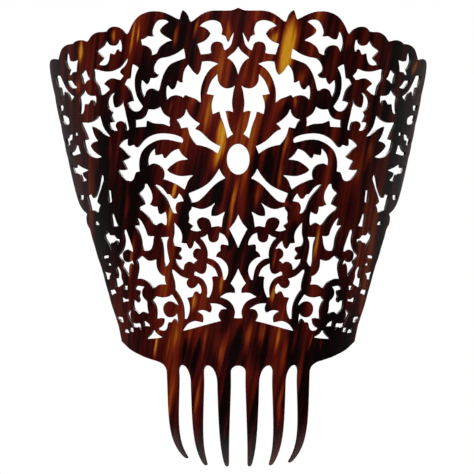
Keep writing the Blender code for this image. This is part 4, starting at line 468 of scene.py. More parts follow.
def runs_of(rows, closed):
    """Split an outline into open runs that end on its corners."""
    corners = [i for i, r in enumerate(rows) if r[2]]
    pts = [(r[0], r[1]) for r in rows]
    if not closed:
        marks = sorted({0, len(rows) - 1} | set(corners))
        return [pts[a:b + 1] for a, b in zip(marks, marks[1:])]
    first = corners[0]
    pts = pts[first:] + pts[:first]
    marks = [c - first for c in corners] + [len(pts)]
    pts.append(pts[0])
    return [pts[a:b + 1] for a, b in zip(marks, marks[1:])]


def trace(text, closed=True):
    """Runs of closely spaced points, one run between each pair of corners."""
    return [curve_run(run) for run in runs_of(read_points(text), closed)]


def area(loop):
    """Area inside a loop, positive when it runs anticlockwise."""
    total = 0.0
    for (u0, z0), (u1, z1) in zip(loop, loop[1:] + loop[:1]):
        total += u0 * z1 - u1 * z0
    return total / 2


def side_edge(z):
    """Straight line close to the side edge of the lower crest."""
    return SIDE_EDGE_U + SIDE_SLANT * min(z, SIDE_TOP_Z)


def open_to_front(runs, amount, thickness):
    """Set back the outer wall of an opening by the wall that shows from straight in front."""
    loop = [p for run in runs for p in run[:-1]]
    turn = 1.0 if area(loop) > 0 else -1.0
    count = len(loop)
    moved = []
    for i, (u, z) in enumerate(loop):
        ua, za = loop[i - 1]
        ub, zb = loop[(i + 1) % count]
        du, dz = ub - ua, zb - za
        outward = turn * dz / max(math.hypot(du, dz), 1e-9)
        share = min(max((outward + WALL_BLEND) / (2 * WALL_BLEND), 0.0), 1.0)
        share = share * share * (3 - 2 * share)
        bend = min(u / cone_radius(z), TURN_LIMIT)
        set_back = u + amount * share * thickness * math.tan(bend)
        if z < SIDE_TOP_Z:
            set_back = max(min(set_back, side_edge(z) - EDGE_KEEP), u)
        moved.append((set_back, z))
    out, at = [], 0
    for run in runs:
        size = len(run) - 1
        out.append([moved[(at + k) % count] for k in range(size + 1)])
        at += size
    return out


def cut_back(run, length):
    """An open run with that much taken off its start."""
    left = length
    for i, ((ua, za), (ub, zb)) in enumerate(zip(run, run[1:])):
        step = math.hypot(ub - ua, zb - za)
        if step > left:
            t = left / step
            return [(ua + (ub - ua) * t, za + (zb - za) * t)] + run[i + 1:]
        left -= step
    return run[-2:]


def run_length(run):
    """Length of an open run."""
    return sum(math.hypot(b[0] - a[0], b[1] - a[1]) for a, b in zip(run, run[1:]))


def eased(runs, radius, closed, tol):
    """Join runs to one line of points, with each corner between them eased by a small arc."""
    count = len(runs)
    trims = []
    for i in range(count if closed else count - 1):
        before, after = runs[i], runs[(i + 1) % count]
        corner = Vector(after[0])
        back = (Vector(before[-2]) - corner).normalized()
        ahead = (Vector(after[1]) - corner).normalized()
        half = max(back.angle(ahead, math.pi) / 2, SHARPEST)
        limit = TRIM_SHARE * min(run_length(before), run_length(after))
        wanted = radius / math.tan(half) if half < ALMOST_STRAIGHT else 0.0
        trims.append(min(wanted, TRIM_MOST, limit))
    out = []
    for i, run in enumerate(runs):
        line = list(run)
        start = trims[i - 1] if closed or i else 0.0
        end = trims[i] if closed or i < count - 1 else 0.0
        if start > TRIM_LEAST:
            line = cut_back(line, start)
        if end > TRIM_LEAST:
            line = cut_back(line[::-1], end)[::-1]
        line = fewer(line, tol)
        out += line
        if end > TRIM_LEAST:
            a, c = Vector(line[-1]), Vector(run[-1])
            following = runs[(i + 1) % count]
            b = Vector(cut_back(following, end)[0])
            for t in (0.25, 0.5, 0.75):
                p = a * (1 - t) ** 2 + c * 2 * t * (1 - t) + b * t * t
                out.append((p.x, p.y))
        elif closed or i < count - 1:
            out.pop()
    return out


def crosses(p, q, r, s):
    """True when the line from p to q crosses the line from r to s."""
    def side(a, b, c):
        return (b[0] - a[0]) * (c[1] - a[1]) - (b[1] - a[1]) * (c[0] - a[0])
    return side(p, q, r) * side(p, q, s) < 0 and side(r, s, p) * side(r, s, q) < 0


def is_simple(loop):
    """True when no edge of the loop crosses another."""
    pts = np.array(loop)
    nxt = np.roll(pts, -1, axis=0)
    lo, hi = np.minimum(pts, nxt), np.maximum(pts, nxt)
    count = len(loop)
    for i in range(count):
        near = np.all((lo[i + 2:] <= hi[i]) & (hi[i + 2:] >= lo[i]), axis=1)
        for j in np.nonzero(near)[0] + i + 2:
            if (j + 1) % count == i:
                continue
            if crosses(pts[i], nxt[i], pts[j], nxt[j]):
                return False
    return True


def tooth_edge(index, tip, z, side):
    """Edge of one tooth of the right half at height z; side is -1 inner, +1 outer."""
    rise = z - tip
    share = min(max((rise - TIP_ROUND) / WIDEN_HEIGHT, 0.0), 1.0)
    half = min(TOOTH_HALF, TIP_HALF + WIDEN_BY * share ** WIDEN_POWER)
    if rise < TIP_ROUND:
        half = TIP_HALF * math.sqrt(max(1.0 - (1.0 - rise / TIP_ROUND) ** 2, 0.0))
    return TOOTH_ANGLES[index] * cone_radius(z) + side * half


def ellipse(centre, reach, depth, turns):
    """Points of an ellipse round that centre, at those turns from its right side."""
    cu, cz = centre
    return [(cu + reach * math.cos(t), cz + depth * math.sin(t)) for t in turns]


def comb_bottom(tips):
    """Right half of the lower outline from the band edge to the centre line."""
    out = []
    rising = [math.radians(9 * k) for k in range(1, 10)]
    falling = [math.radians(90 + 7.5 * k) for k in range(12)]
    for index in (2, 1, 0):
        tip = tips[index]
        side = [GAP_SIDE_Z - SIDE_STEP * k for k in range(40)]
        side = [z for z in side if z > tip + 5] + [tip + h for h in END_HEIGHTS]
        outer = side if index == 2 else [z for z in side if z <= FLARE_Z]
        out += [(tooth_edge(index, tip, h, 1), h) for h in outer]
        out.append((tooth_edge(index, tip, tip, 1), tip))
        out += [(tooth_edge(index, tip, h, -1), h) for h in reversed(side)]
        inner = tooth_edge(index, tip, GAP_SIDE_Z, -1)
        round_top = GAP_TOP_Z - GAP_SIDE_Z
        if index == 0:
            out += ellipse((0.0, GAP_SIDE_Z), inner, round_top, rising)
            out.append((0.0, GAP_TOP_Z))
            continue
        straight = tooth_edge(index - 1, tips[index - 1], FLARE_Z, 1)
        peak = inner - GAP_PEAK_SHARE * (inner - straight)
        out += ellipse((peak, GAP_SIDE_Z), inner - peak, round_top, rising)
        out += ellipse((peak, FLARE_Z), peak - straight, GAP_TOP_Z - FLARE_Z, falling)
    return out


def mirrored(loop):
    """The same loop on the other side of the centre line."""
    return [(-u, z) for u, z in reversed(loop)]


def side_opening(text, sheet):
    """Closed outline of one opening of the right half."""
    for amount in (1.0, 0.8, 0.6, 0.4, 0.2, 0.0):      # less where the walls would cross
        runs = open_to_front(trace(text), amount, sheet.thickness)
        loop = eased(runs, sheet.corner_radius, True, sheet.line_tolerance)
        if is_simple(loop):
            return loop
    raise ValueError("an opening crosses itself: " + text[:30])


def across(text, sheet):
    """Closed outline of an opening on the centre line, from its right-hand half."""
    half = eased(trace(text, False), sheet.corner_radius, False, sheet.line_tolerance)
    return half + mirrored(half[1:-1])


def sheet_outlines(sheet):
    """Outer outline first, then every opening, as closed loops in u, z."""
    half = eased(trace(RIM, False), sheet.corner_radius, False, sheet.line_tolerance)
    left = [(u, z) for u, z in mirrored(half + comb_bottom(TIPS_LEFT)) if abs(u) > 1e-6]
    loops = [half + comb_bottom(TIPS_RIGHT) + left]
    turns = [math.tau * k / EYE_POINTS for k in range(EYE_POINTS)]
    loops.append(ellipse(EYE[:2], *EYE[2:], turns))
    loops += [across(text, sheet) for text in CENTRE_HOLES]
    for text in HOLES.values():
        loop = side_opening(text, sheet)
        loops += [loop, mirrored(loop)]
    for text, left_points, right_points in ODD_HOLES.values():
        loops.append(side_opening(text % right_points, sheet))
        loops.append(mirrored(side_opening(text % left_points, sheet)))
    return loops


def set_in(loop, amount):
    """Each point's step into the sheet, for a line that runs that far inside the outline."""
    pts = np.array(loop)
    ahead = np.roll(pts, -1, axis=0) - pts
    ahead /= np.maximum(np.linalg.norm(ahead, axis=1, keepdims=True), 1e-9)
    behind = np.roll(ahead, 1, axis=0)
    left = np.stack([-ahead[:, 1] - behind[:, 1], ahead[:, 0] + behind[:, 0]], axis=1)
    size = np.maximum(np.linalg.norm(left, axis=1, keepdims=True), 1e-6)
    reach = np.minimum(2.0 / size, MITRE_LIMIT)
    return left / size * reach * amount


def facing_in(loops):
    """The same loops, turned so that the sheet lies to the left of every one."""
    out = []
    for i, loop in enumerate(loops):
        wanted = 1.0 if i == 0 else -1.0
        out.append(loop if area(loop) * wanted > 0 else loop[::-1])
    return out


# ---- the flat sheet, drawn in millimetres -----------------------------------------------------

def only(piece):
    """Select and activate one object."""
    bpy.ops.object.select_all(action="DESELECT")
    piece.select_set(True)
    bpy.context.view_layer.objects.active = piece


@contextmanager
def editing(piece, select_type):
    """Edit mode on one object, choosing by edge or by face."""
    only(piece)
    bpy.ops.object.mode_set(mode="EDIT")
    bpy.ops.mesh.select_mode(type=select_type)
    yield
    bpy.ops.object.mode_set(mode="OBJECT")


def drawn_at(u, z):
    """Place on the drawing, where lines of equal angle stand upright."""
    return u / cone_radius(z) * U_REF


def mark(mesh, name, kind, domain, values):
    """Store one attribute."""
    layer = mesh.attributes.new(name, kind, domain)
    field = "vector" if kind == "FLOAT_VECTOR" else "value"
    layer.data.foreach_set(field, np.asarray(values).ravel())


def place_ring(piece, outline, step, inset, depth):
    """Move the selected points to a line that far inside the outline and below the face."""
    bm = bmesh.from_edit_mesh(piece.data)
    number = bm.verts.layers.int["number"]
    for vert in bm.verts:
        if vert.select:
            u, z = outline[vert[number]] + step[vert[number]] * inset
            vert.co = (drawn_at(u, z), z, -depth)
    bmesh.update_edit_mesh(piece.data)


def select_rim():
    """Select the open edges of the mesh in edit mode."""
    bpy.ops.mesh.select_all(action="DESELECT")
    bpy.ops.mesh.select_non_manifold(use_wire=False, use_boundary=True, use_multi_face=False,
                                     use_non_contiguous=False, use_verts=False)


def sawn_sheet(sheet):
    """The whole sheet, flat: X across, Y up, its front face at Z = 0, its edges rounded."""
    rows, steps, edges = [], [], []
    for loop in facing_in(sheet_outlines(sheet)):
        amount = sheet.edge_round
        step = set_in(loop, amount)
        while not is_simple((np.array(loop) + step).tolist()) and amount > ROUND_LEAST:
            amount *= ROUND_STEP
            step = set_in(loop, amount)
        first = len(rows)
        rows += loop
        steps += step.tolist()
        edges += [(first + k, first + (k + 1) % len(loop)) for k in range(len(loop))]
    outline, step = np.array(rows), np.array(steps)
    mesh = bpy.data.meshes.new("sheet")
    mesh.from_pydata([(u, z, 0.0) for u, z in rows], edges, [])
    mark(mesh, "number", "INT", "POINT", np.arange(len(rows)))
    size = np.maximum(np.linalg.norm(step, axis=1, keepdims=True), 1e-9)
    mark(mesh, "outward", "FLOAT_VECTOR", "POINT", np.column_stack([-step / size, size * 0]))
    mesh.attributes.new("end_wall", "INT", "FACE")
    piece = bpy.data.objects.new("sheet", mesh)
    bpy.context.collection.objects.link(piece)

    front = []
    for k in range(sheet.round_steps + 1):
        turn = math.radians(90) * k / sheet.round_steps
        front.append((1 - math.sin(turn), sheet.edge_round * (1 - math.cos(turn))))
    back = [(inset, sheet.thickness - depth) for inset, depth in reversed(front)]
    with editing(piece, "EDGE"):
        bpy.ops.mesh.select_all(action="SELECT")
        place_ring(piece, outline, step, *front[0])
        bpy.ops.mesh.fill(use_beauty=True)
        select_rim()
        for ring in front[1:] + back:
            bpy.ops.mesh.extrude_edges_move()
            place_ring(piece, outline, step, *ring)
        bpy.ops.mesh.fill(use_beauty=True)
        bpy.ops.mesh.select_all(action="SELECT")
        bpy.ops.mesh.normals_make_consistent(inside=False)
    return piece


def bisect(point, normal):
    """Cut the mesh in edit mode along a plane."""
    bpy.ops.mesh.select_all(action="SELECT")
    bpy.ops.mesh.bisect(plane_co=point, plane_no=normal, threshold=1e-5)


def close_end(piece, height):
    """Fill the open end of a section at that height with a wall, marked to stay sharp."""
    bpy.ops.mesh.select_mode(type="EDGE")
    select_rim()
    bm = bmesh.from_edit_mesh(piece.data)
    for edge in bm.edges:
        if edge.select and abs(edge.verts[0].co.y - height) > 1e-3:
            edge.select_set(False)
    if not any(edge.select for edge in bm.edges):
        return
    before = len(bm.faces)
    bmesh.update_edit_mesh(piece.data)
    bpy.ops.mesh.fill(use_beauty=True)
    bm = bmesh.from_edit_mesh(piece.data)
    bm.faces.ensure_lookup_table()
    end_wall = bm.faces.layers.int["end_wall"]
    for face in bm.faces[before:]:
        face[end_wall] = 1
    bmesh.update_edit_mesh(piece.data)


def add_bend_lines(piece, bend_step):
    """Cut the section in edit mode along the lines on which it is rolled."""
    sides = [vert.co.x for vert in bmesh.from_edit_mesh(piece.data).verts]
    step = U_REF * bend_step
    first = math.ceil(min(sides) / step - 0.5)
    last = math.floor(max(sides) / step - 0.5)
    for k in range(first, last + 1):
        bisect(((k + 0.5) * step, 0, 0), (1, 0, 0))


def take_off(piece, name, wanted):
    """Separate the faces that pass the test as a flat section of that name."""
    with editing(piece, "FACE"):
        bm = bmesh.from_edit_mesh(piece.data)
        for face in bm.faces:
            face.select_set(wanted(face.calc_center_median()))
        bmesh.update_edit_mesh(piece.data)
        bpy.ops.mesh.separate(type="SELECTED")
    section = next(o for o in bpy.context.selected_objects if o is not piece)
    section.name = FLAT + name
    return section


def tooth_number(x):
    """Which tooth a place across the drawing belongs to, counted from the left."""
    order = sum(abs(x) > U_REF * bound for bound in TOOTH_BOUNDS)
    return 4 + order if x > 0 else 3 - order


def part_sections(crest, sheet):
    """Cut the flat sheet into crest, band and teeth, and close their ends."""
    with editing(crest, "FACE"):
        for z in (SEAM_TEETH_Z, SEAM_CREST_Z):
            bisect((0, z, 0), (0, 1, 0))
    teeth = take_off(crest, "teeth", lambda c: c.y < SEAM_TEETH_Z)
    band = take_off(crest, "band", lambda c: c.y < SEAM_CREST_Z)
    for part in (crest, teeth, band):
        with editing(part, "FACE"):
            add_bend_lines(part, sheet.bend_step)
            close_end(part, SEAM_TEETH_Z)
            close_end(part, SEAM_CREST_Z)
            bpy.ops.mesh.select_all(action="SELECT")
            bpy.ops.mesh.normals_make_consistent(inside=False)
    for number in range(1, 6):
        take_off(teeth, "tooth_%d" % number, lambda c: tooth_number(c.x) == number)
    teeth.name = FLAT + "tooth_6"
    crest.name = FLAT + "crest"


# ---- rolling ----------------------------------------------------------------------------------

def tip_curl(z, tips):
    """How far the teeth hook in towards the head at height z, and the slope of that."""
    reach = SEAM_TEETH_Z - tips
    drop = np.maximum(SEAM_TEETH_Z - z, 0.0) / reach
    return TIP_BEND * drop ** TIP_POWER, -TIP_POWER * TIP_BEND * drop ** (TIP_POWER - 1) / reach


def read(rows, field, width=1, kind=float):
    """One field of a mesh's rows as an array."""
    values = np.empty(len(rows) * width, dtype=kind)
    rows.foreach_get(field, values)
    return values.reshape(-1, width) if width > 1 else values


def unit(vectors):
    """The same directions at length 1."""
    sizes = np.linalg.norm(vectors, axis=1, keepdims=True)
    return vectors / np.maximum(sizes, 1e-9)


def tips_below(x):
    """Height of the tip of the tooth that stands below each place across the drawing."""
    order = np.digitize(np.abs(x) / U_REF, TOOTH_BOUNDS)
    return np.where(x > 0, np.choose(order, TIPS_RIGHT), np.choose(order, TIPS_LEFT))


def rolled(x, radius, level, bend_step):
    """Places across and behind the front, bent only along the bend lines."""
    marks = (np.arange(-90, 91) + 0.5) * bend_step * ROLL_EASE
    turn = x / U_REF * ROLL_EASE
    s, c = (np.interp(turn, marks, f(marks)) for f in (np.sin, np.cos))
    inner = radius - ROLL_CLEAR - level
    return inner * s, radius - inner * c


def true_normals(x, z, outward, facing, curl_slope):
    """Outward directions of the smooth surface: its faces, and the walls where it is sawn."""
    turn = x / U_REF * ROLL_EASE
    s, c = np.sin(turn), np.cos(turn)
    slope = cone_slope(z)
    rise = slope - curl_slope
    along_u = np.column_stack([c, s, c * 0])
    along_z = np.column_stack([rise * s, slope - rise * c, c * 0 + 1])
    face = unit(np.cross(along_u, along_z))
    edge = outward[:, :1] * along_z - outward[:, 1:2] * along_u
    wall = unit(np.cross(edge, face))
    share = facing[:, None]
    return face * share + wall * np.sqrt(np.maximum(1 - share ** 2, 0))


def roll(piece, sheet):
    """Roll a flat section round the cone. Keeps its flat place as the UV map "sheet"."""
    mesh = piece.data
    x, z, depth = read(mesh.vertices, "co", 3).T * np.array([[1], [1], [-1]])
    outward = read(mesh.attributes["outward"].data, "vector", 3)
    radius = cone_radius(z)

    thick, soft = sheet.thickness, max(sheet.edge_round, 1e-3)
    facing = np.clip(1 - depth / soft, 0, 1) - np.clip(1 - (thick - depth) / soft, 0, 1)
    tips = tips_below(x)
    thin = np.clip((z - tips) / TIP_TAPER, 0, 1) ** THIN_POWER
    thin = np.where(z < SEAM_TEETH_Z, sheet.tip_share + (1 - sheet.tip_share) * thin, 1.0)
    curl, curl_slope = tip_curl(z, tips)
    level = (thick / 2 + (depth - thick / 2) * thin) * np.hypot(1.0, curl_slope)
    across_mm, behind = rolled(x, radius, level + curl, sheet.bend_step)
    place = np.column_stack([across_mm, behind, z - ROOT_Z]) * MM
    mesh.vertices.foreach_set("co", place.ravel())
    normal = true_normals(x, z, outward, facing, curl_slope)

    corner = read(mesh.loops, "vertex_index", kind=np.int32)
    uv = np.column_stack([x * radius / U_REF, z]) / UV_SPAN
    sheet_map = mesh.uv_layers.new(name="sheet")
    sheet_map.data.foreach_set("uv", uv[corner].ravel())
    mark(mesh, "sawn", "FLOAT", "POINT", 1 - np.abs(facing))
    mesh.update()
    ends = read(mesh.attributes["end_wall"].data, "value", kind=np.int32)
    sizes = read(mesh.polygons, "loop_total", kind=np.int32)
    flat_faces = read(mesh.polygons, "normal", 3)
    of_face = np.repeat(np.arange(len(ends)), sizes)
    normals = np.where(ends[of_face, None] == 1, flat_faces[of_face], normal[corner])
    mesh.shade_smooth()
    mesh.normals_split_custom_set(normals.tolist())
    for name in ("number", "outward", "end_wall"):
        mesh.attributes.remove(mesh.attributes[name])


# ---- finishes ---------------------------------------------------------------------------------

# clouds in the shell's figure: size along u, size along z, and how much they count
CLOUDS = ((26, 150, 0.55), (9, 110, 0.8), (2.6, 60, 0.28))
WANDER_SIZES = (7, 30)        # the streaks' outlines wander at this scale
WANDER = (4.0, 10.0, 0.0)     # and this far along u and z
STREAK_RIM, STREAK_CORE = 1.15, 0.15     # where a streak fades out, and where it is full
STREAK_FINE = (0.62, 0.76)    # a streak's steady share, and the share its fine lines carry
STOPS = ((0.0, "black"), (0.22, "black"), (0.32, "deep"), (0.42, "red"),
         (0.52, "red_brown"), (0.63, "orange"), (0.78, "amber"), (1.0, "bright"))
FLECK_SIZES, FLECK_FROM, FLECK_GAIN = (0.5, 4.0), 0.52, 1.1
SCUFF_SIZES = (0.28, 5.0)
RUB_SCALE, SMUDGE_SCALE, SWELL_SCALE, SAW_SCALE = 0.11, 0.05, 0.075, 2.6    # per millimetre
WALL_PAINTED_SHADE = 0.85              # painted shade: the sawn walls' colour is darkened this far towards black
RUBBED = 0.10                 # how pale handling rubs the edges
TIP_WEAR_TOP = -100.0         # the hair rubs the teeth dull below this height
TIP_WEAR_RUN = 18.0
SHELL_ROUGH, SMUDGE_ROUGH, SCUFF_ROUGH, SAWN_ROUGH, TIP_ROUGH = 0.13, 0.14, 0.05, 0.26, 0.3
SWELL_RISE, SCUFF_RISE, SAW_RISE, BUMP_STRENGTH = 0.24, 0.0035, 0.05, 0.55
SHELL_IOR, GLOSS, TEETH_GLOSS = 1.5, 0.5, 0.3
POLISH, POLISH_LOST, POLISH_ROUGH = 0.2, 0.15, 0.06       # the coat, less on sawn walls
GRAIN_SCALE, GRAIN_SHADE, GRAIN_COLOUR, GRAIN_RISE = 240.0, 0.05, (0.5, 0.5, 0.5), MM * 0.2
CARD_ROUGH, CARD_GLOSS = 0.75, 0.2

class Varying:
    """One node output; arithmetic on it adds Math nodes to the same tree."""

    def __init__(self, tree, socket):
        self.tree, self.socket = tree, socket

    def maths(self, operation, *values, clamp=False):
        settings = {"operation": operation, "use_clamp": clamp}
        return self.tree.add("ShaderNodeMath", settings, dict(enumerate(values)))

    def __add__(self, other):
        return self.maths("ADD", self, other)

    __radd__ = __add__

    def __mul__(self, other):
        return self.maths("MULTIPLY", self, other)

    __rmul__ = __mul__

    def __sub__(self, other):
        return self.maths("SUBTRACT", self, other)

    def __rsub__(self, other):
        return self.maths("SUBTRACT", other, self)

    def clamped(self):
        return self.maths("ADD", self, 0.0, clamp=True)


class Nodes:
    """A node tree that is being built."""

    def __init__(self, tree):
        self.tree = tree
        tree.nodes.clear()

    def add(self, kind, settings=None, values=None, output=0):
        """Add a node: its settings first, then the values or links of its sockets."""
        node = self.tree.nodes.new(kind)
        for name, value in (settings or {}).items():
            if name == "stops":
                self.set_stops(node.color_ramp, value)
            else:
                setattr(node, name, value)
        for name, value in (values or {}).items():
            if isinstance(value, Varying):
                self.tree.links.new(value.socket, node.inputs[name])
            else:
                node.inputs[name].default_value = value
        return Varying(self, node.outputs[output] if len(node.outputs) else None)

    @staticmethod
    def set_stops(ramp, stops):
        """Give a colour ramp its places and colours."""
        for place, _ in stops[len(ramp.elements):]:
            ramp.elements.new(place)
        for element, (place, colour) in zip(ramp.elements, stops):
            element.position = place
            element.color = (*colour, 1.0)

    def blended(self, share, first, second):
        """Colour that goes from the first to the second as share goes from 0 to 1."""
        settings = {"data_type": "RGBA", "clamp_factor": True}
        return self.add("ShaderNodeMix", settings, {0: share, 6: first, 7: second}, output=2)

    def cloud(self, place, scale, detail=2.0, roughness=0.5):
        """Soft noise between 0 and 1, around 0.5."""
        values = {"Vector": place, "Scale": scale, "Detail": detail, "Roughness": roughness}
        return self.add("ShaderNodeTexNoise", {"noise_dimensions": "2D"}, values)

    def stretched(self, place, sizes):
        """The place divided by one size along u and another along z."""
        factors = (1 / sizes[0], 1 / sizes[1], 0.0)
        settings = {"operation": "MULTIPLY"}
        return self.add("ShaderNodeVectorMath", settings, {0: place, 1: factors})


def paint(colour):
    """A colour property as a socket's opaque colour."""
    return (*colour, 1.0)


def shell_figure(nodes, streaks, place, colours):
    """How far the shell is from black to bright amber at each place of the sheet."""
    tone = None
    for size_u, size_z, count in CLOUDS:
        cloud = nodes.cloud(nodes.stretched(place, (size_u, size_z)), 1.0)
        amount = (cloud - 0.5) * count
        tone = amount if tone is None else tone + amount
    fine = cloud
    tone = tone + colours.tone
    wander = nodes.add("ShaderNodeTexNoise", {"noise_dimensions": "2D"},
                       {"Vector": nodes.stretched(place, WANDER_SIZES), "Scale": 1.0}, output=1)
    shifted = nodes.add("ShaderNodeVectorMath", {"operation": "MULTIPLY_ADD"},
                        {0: wander, 1: WANDER, 2: place})
    mean_u, mean_z = WANDER[0] / 2, WANDER[1] / 2
    total = None
    for s, z, half_width, half_height, strength in streaks:
        values = {0: shifted, 1: (1 / half_width, 1 / half_height, 0.0),
                  2: (-(s + mean_u) / half_width, -(z + mean_z) / half_height, 0.0)}
        place_in = nodes.add("ShaderNodeVectorMath", {"operation": "MULTIPLY_ADD"}, values)
        reach = nodes.add("ShaderNodeVectorMath", {"operation": "LENGTH"}, {0: place_in},
                          output=1)
        values = {"Value": reach, "From Min": STREAK_RIM, "From Max": STREAK_CORE,
                  "To Min": 0.0, "To Max": strength}
        amount = nodes.add("ShaderNodeMapRange", {"interpolation_type": "SMOOTHSTEP"}, values)
        total = amount if total is None else total + amount
    if total is not None:
        tone = tone + total * (STREAK_FINE[0] + STREAK_FINE[1] * fine)
    return tone


def tortoiseshell(name, colours, lowest, highest, gloss=GLOSS):
    """Polished imitation tortoiseshell for the part of the sheet between two heights."""
    material = bpy.data.materials.new(name)
    material.use_nodes = True
    nodes = Nodes(material.node_tree)
    sheet_map = nodes.add("ShaderNodeUVMap", {"uv_map": "sheet"})
    flat = nodes.add("ShaderNodeVectorMath", {"operation": "SCALE"},
                     {0: sheet_map, "Scale": UV_SPAN})
    u = nodes.add("ShaderNodeSeparateXYZ", None, {0: flat}, output=0)
    z = nodes.add("ShaderNodeSeparateXYZ", None, {0: flat}, output=1)
    leaning = nodes.add("ShaderNodeCombineXYZ", None, {0: u - z * STREAK_LEAN, 1: z})
    sawn = nodes.add("ShaderNodeAttribute", {"attribute_name": "sawn"}, output=2)

    streaks = [(u0 - STREAK_LEAN * z0, z0, half_width, half_height, strength)
               for u0, z0, half_width, half_height, strength in STREAKS
               if z0 + half_height > lowest - 4 and z0 - half_height < highest + 4]
    tone = shell_figure(nodes, streaks, leaning, colours)
    stops = [(place, getattr(colours, colour_name)) for place, colour_name in STOPS]
    shell = nodes.add("ShaderNodeValToRGB", {"stops": stops}, {0: tone.clamped()})

    flecks = nodes.cloud(nodes.stretched(leaning, FLECK_SIZES), 1.0)
    shell = nodes.blended((flecks - FLECK_FROM) * FLECK_GAIN, shell, paint(colours.black))
    # painted shade: the sawn walls are mixed towards black, as if they lay in shade
    wall = nodes.blended(WALL_PAINTED_SHADE, shell, paint(colours.black))
    shell = nodes.blended(sawn, shell, wall)
    worn = sawn * (1 - sawn) * 4          # 1 halfway round the edge, 0 on face and wall
    rubbed = nodes.cloud(flat, RUB_SCALE, 3.0)
    shell = nodes.blended(worn * rubbed * RUBBED, shell, paint(colours.worn))

    smudge = nodes.cloud(flat, SMUDGE_SCALE, 3.0, 0.6)
    scuffs = nodes.cloud(nodes.stretched(flat, SCUFF_SIZES), 1.0)
    tip_wear = ((TIP_WEAR_TOP - z) * (1 / TIP_WEAR_RUN)).clamped()
    roughness = (SHELL_ROUGH + smudge * SMUDGE_ROUGH + scuffs * SCUFF_ROUGH
                 + sawn * SAWN_ROUGH + tip_wear * TIP_ROUGH)

    swell = nodes.cloud(flat, SWELL_SCALE, 1.0)
    saw_marks = nodes.cloud(flat, SAW_SCALE)
    height = swell * SWELL_RISE + scuffs * SCUFF_RISE + saw_marks * sawn * SAW_RISE
    bump = nodes.add("ShaderNodeBump", None,
                     {"Height": height, "Strength": BUMP_STRENGTH, "Distance": MM})
    surface = nodes.add("ShaderNodeBsdfPrincipled", None, {
        "Base Color": shell, "Roughness": roughness, "Normal": bump, "IOR": SHELL_IOR,
        "Specular IOR Level": gloss, "Coat Roughness": POLISH_ROUGH,
        "Coat Weight": (POLISH - sawn * POLISH_LOST) * (1 - tip_wear)})
    nodes.add("ShaderNodeOutputMaterial", None, {"Surface": surface})
    return material


def floor_finish(card):
    """Smooth matt card of that colour for the floor."""
    material = bpy.data.materials.new("pale_card")
    material.use_nodes = True
    nodes = Nodes(material.node_tree)
    place = nodes.add("ShaderNodeTexCoord", None, output=3)
    grain = nodes.add("ShaderNodeTexNoise", None,
                      {"Vector": place, "Scale": GRAIN_SCALE, "Detail": 3.0})
    shade = nodes.blended(grain * GRAIN_SHADE, paint(card), paint(GRAIN_COLOUR))
    bump = nodes.add("ShaderNodeBump", None,
                     {"Height": grain, "Strength": 0.1, "Distance": GRAIN_RISE})
    surface = nodes.add("ShaderNodeBsdfPrincipled", None, {
        "Base Color": shade, "Roughness": CARD_ROUGH + grain * 0.1, "Normal": bump,
        "Specular IOR Level": CARD_GLOSS})
    nodes.add("ShaderNodeOutputMaterial", None, {"Surface": surface})
    return material


# ---- what a user can change -------------------------------------------------------------------

def length(name, description, default, low, high):
    """A length property, in metres."""
    return FloatProperty(name=name, description=description, default=default, min=low,
                         max=high, unit="LENGTH", precision=5)


def colour(name, description, default):
    """A colour property."""
    return FloatVectorProperty(name=name, description=description, default=default, size=3,
                               min=0.0, max=1.0, subtype="COLOR")


class CombSheet(bpy.types.PropertyGroup):
    """How the sheet is sawn and rolled."""
    thickness: length("Thickness", "Thickness of the sheet", 0.0016, 0.001, 0.0016)
    edge_round: length("Edge rounding", "How far the sawn edges are rounded", 0.0002,
                       0.00005, 0.0006)
    corner_radius: length("Corner radius", "How far corners of the fretwork are eased",
                          0.00022, 0.0, 0.001)
    line_tolerance: length("Line tolerance", "How closely the outlines follow their curves",
                           0.000045, 0.00001, 0.0003)
    round_steps: IntProperty(name="Rounding steps", description="Facets across each edge",
                             default=2, min=1, max=4)
    bend_step: FloatProperty(name="Bend step", description="Angle between bend lines",
                             default=math.radians(1.5), min=math.radians(0.8),
                             max=math.radians(4), subtype="ANGLE")
    tip_share: FloatProperty(name="Tip thickness", description="Share of the thickness left "
                             "at the tip of a tooth", default=0.6, min=0.3, max=1.0,
                             subtype="FACTOR")

    def drawn(self):
        """The same values in the drawing's millimetres."""
        return SimpleNamespace(
            thickness=self.thickness / MM, edge_round=self.edge_round / MM,
            corner_radius=self.corner_radius / MM, line_tolerance=self.line_tolerance / MM,
            round_steps=self.round_steps, bend_step=self.bend_step, tip_share=self.tip_share)


class CombColours(bpy.types.PropertyGroup):
    """Colours of the imitation tortoiseshell, from its darkest to its brightest."""
    black: colour("Black", "The darkest shell", (0.0040, 0.0005, 0.0006))
    deep: colour("Deep red", "The ground of the shell", (0.0280, 0.0011, 0.0011))
    red: colour("Red", "Between the streaks", (0.0660, 0.0042, 0.0021))
    red_brown: colour("Red-brown", "The edge of a streak", (0.120, 0.0084, 0.0026))
    orange: colour("Orange", "The body of a streak", (0.215, 0.0285, 0.0034))
    amber: colour("Amber", "The heart of a streak", (0.390, 0.1120, 0.0050))
    bright: colour("Bright amber", "The brightest patches", (0.680, 0.3000, 0.0140))
    worn: colour("Worn edge", "Edges rubbed pale by handling", (0.200, 0.0800, 0.0400))
    tone: FloatProperty(name="Tone", description="Shifts the whole figure from black to amber",
                        default=0.34, min=0.0, max=1.0, subtype="FACTOR")


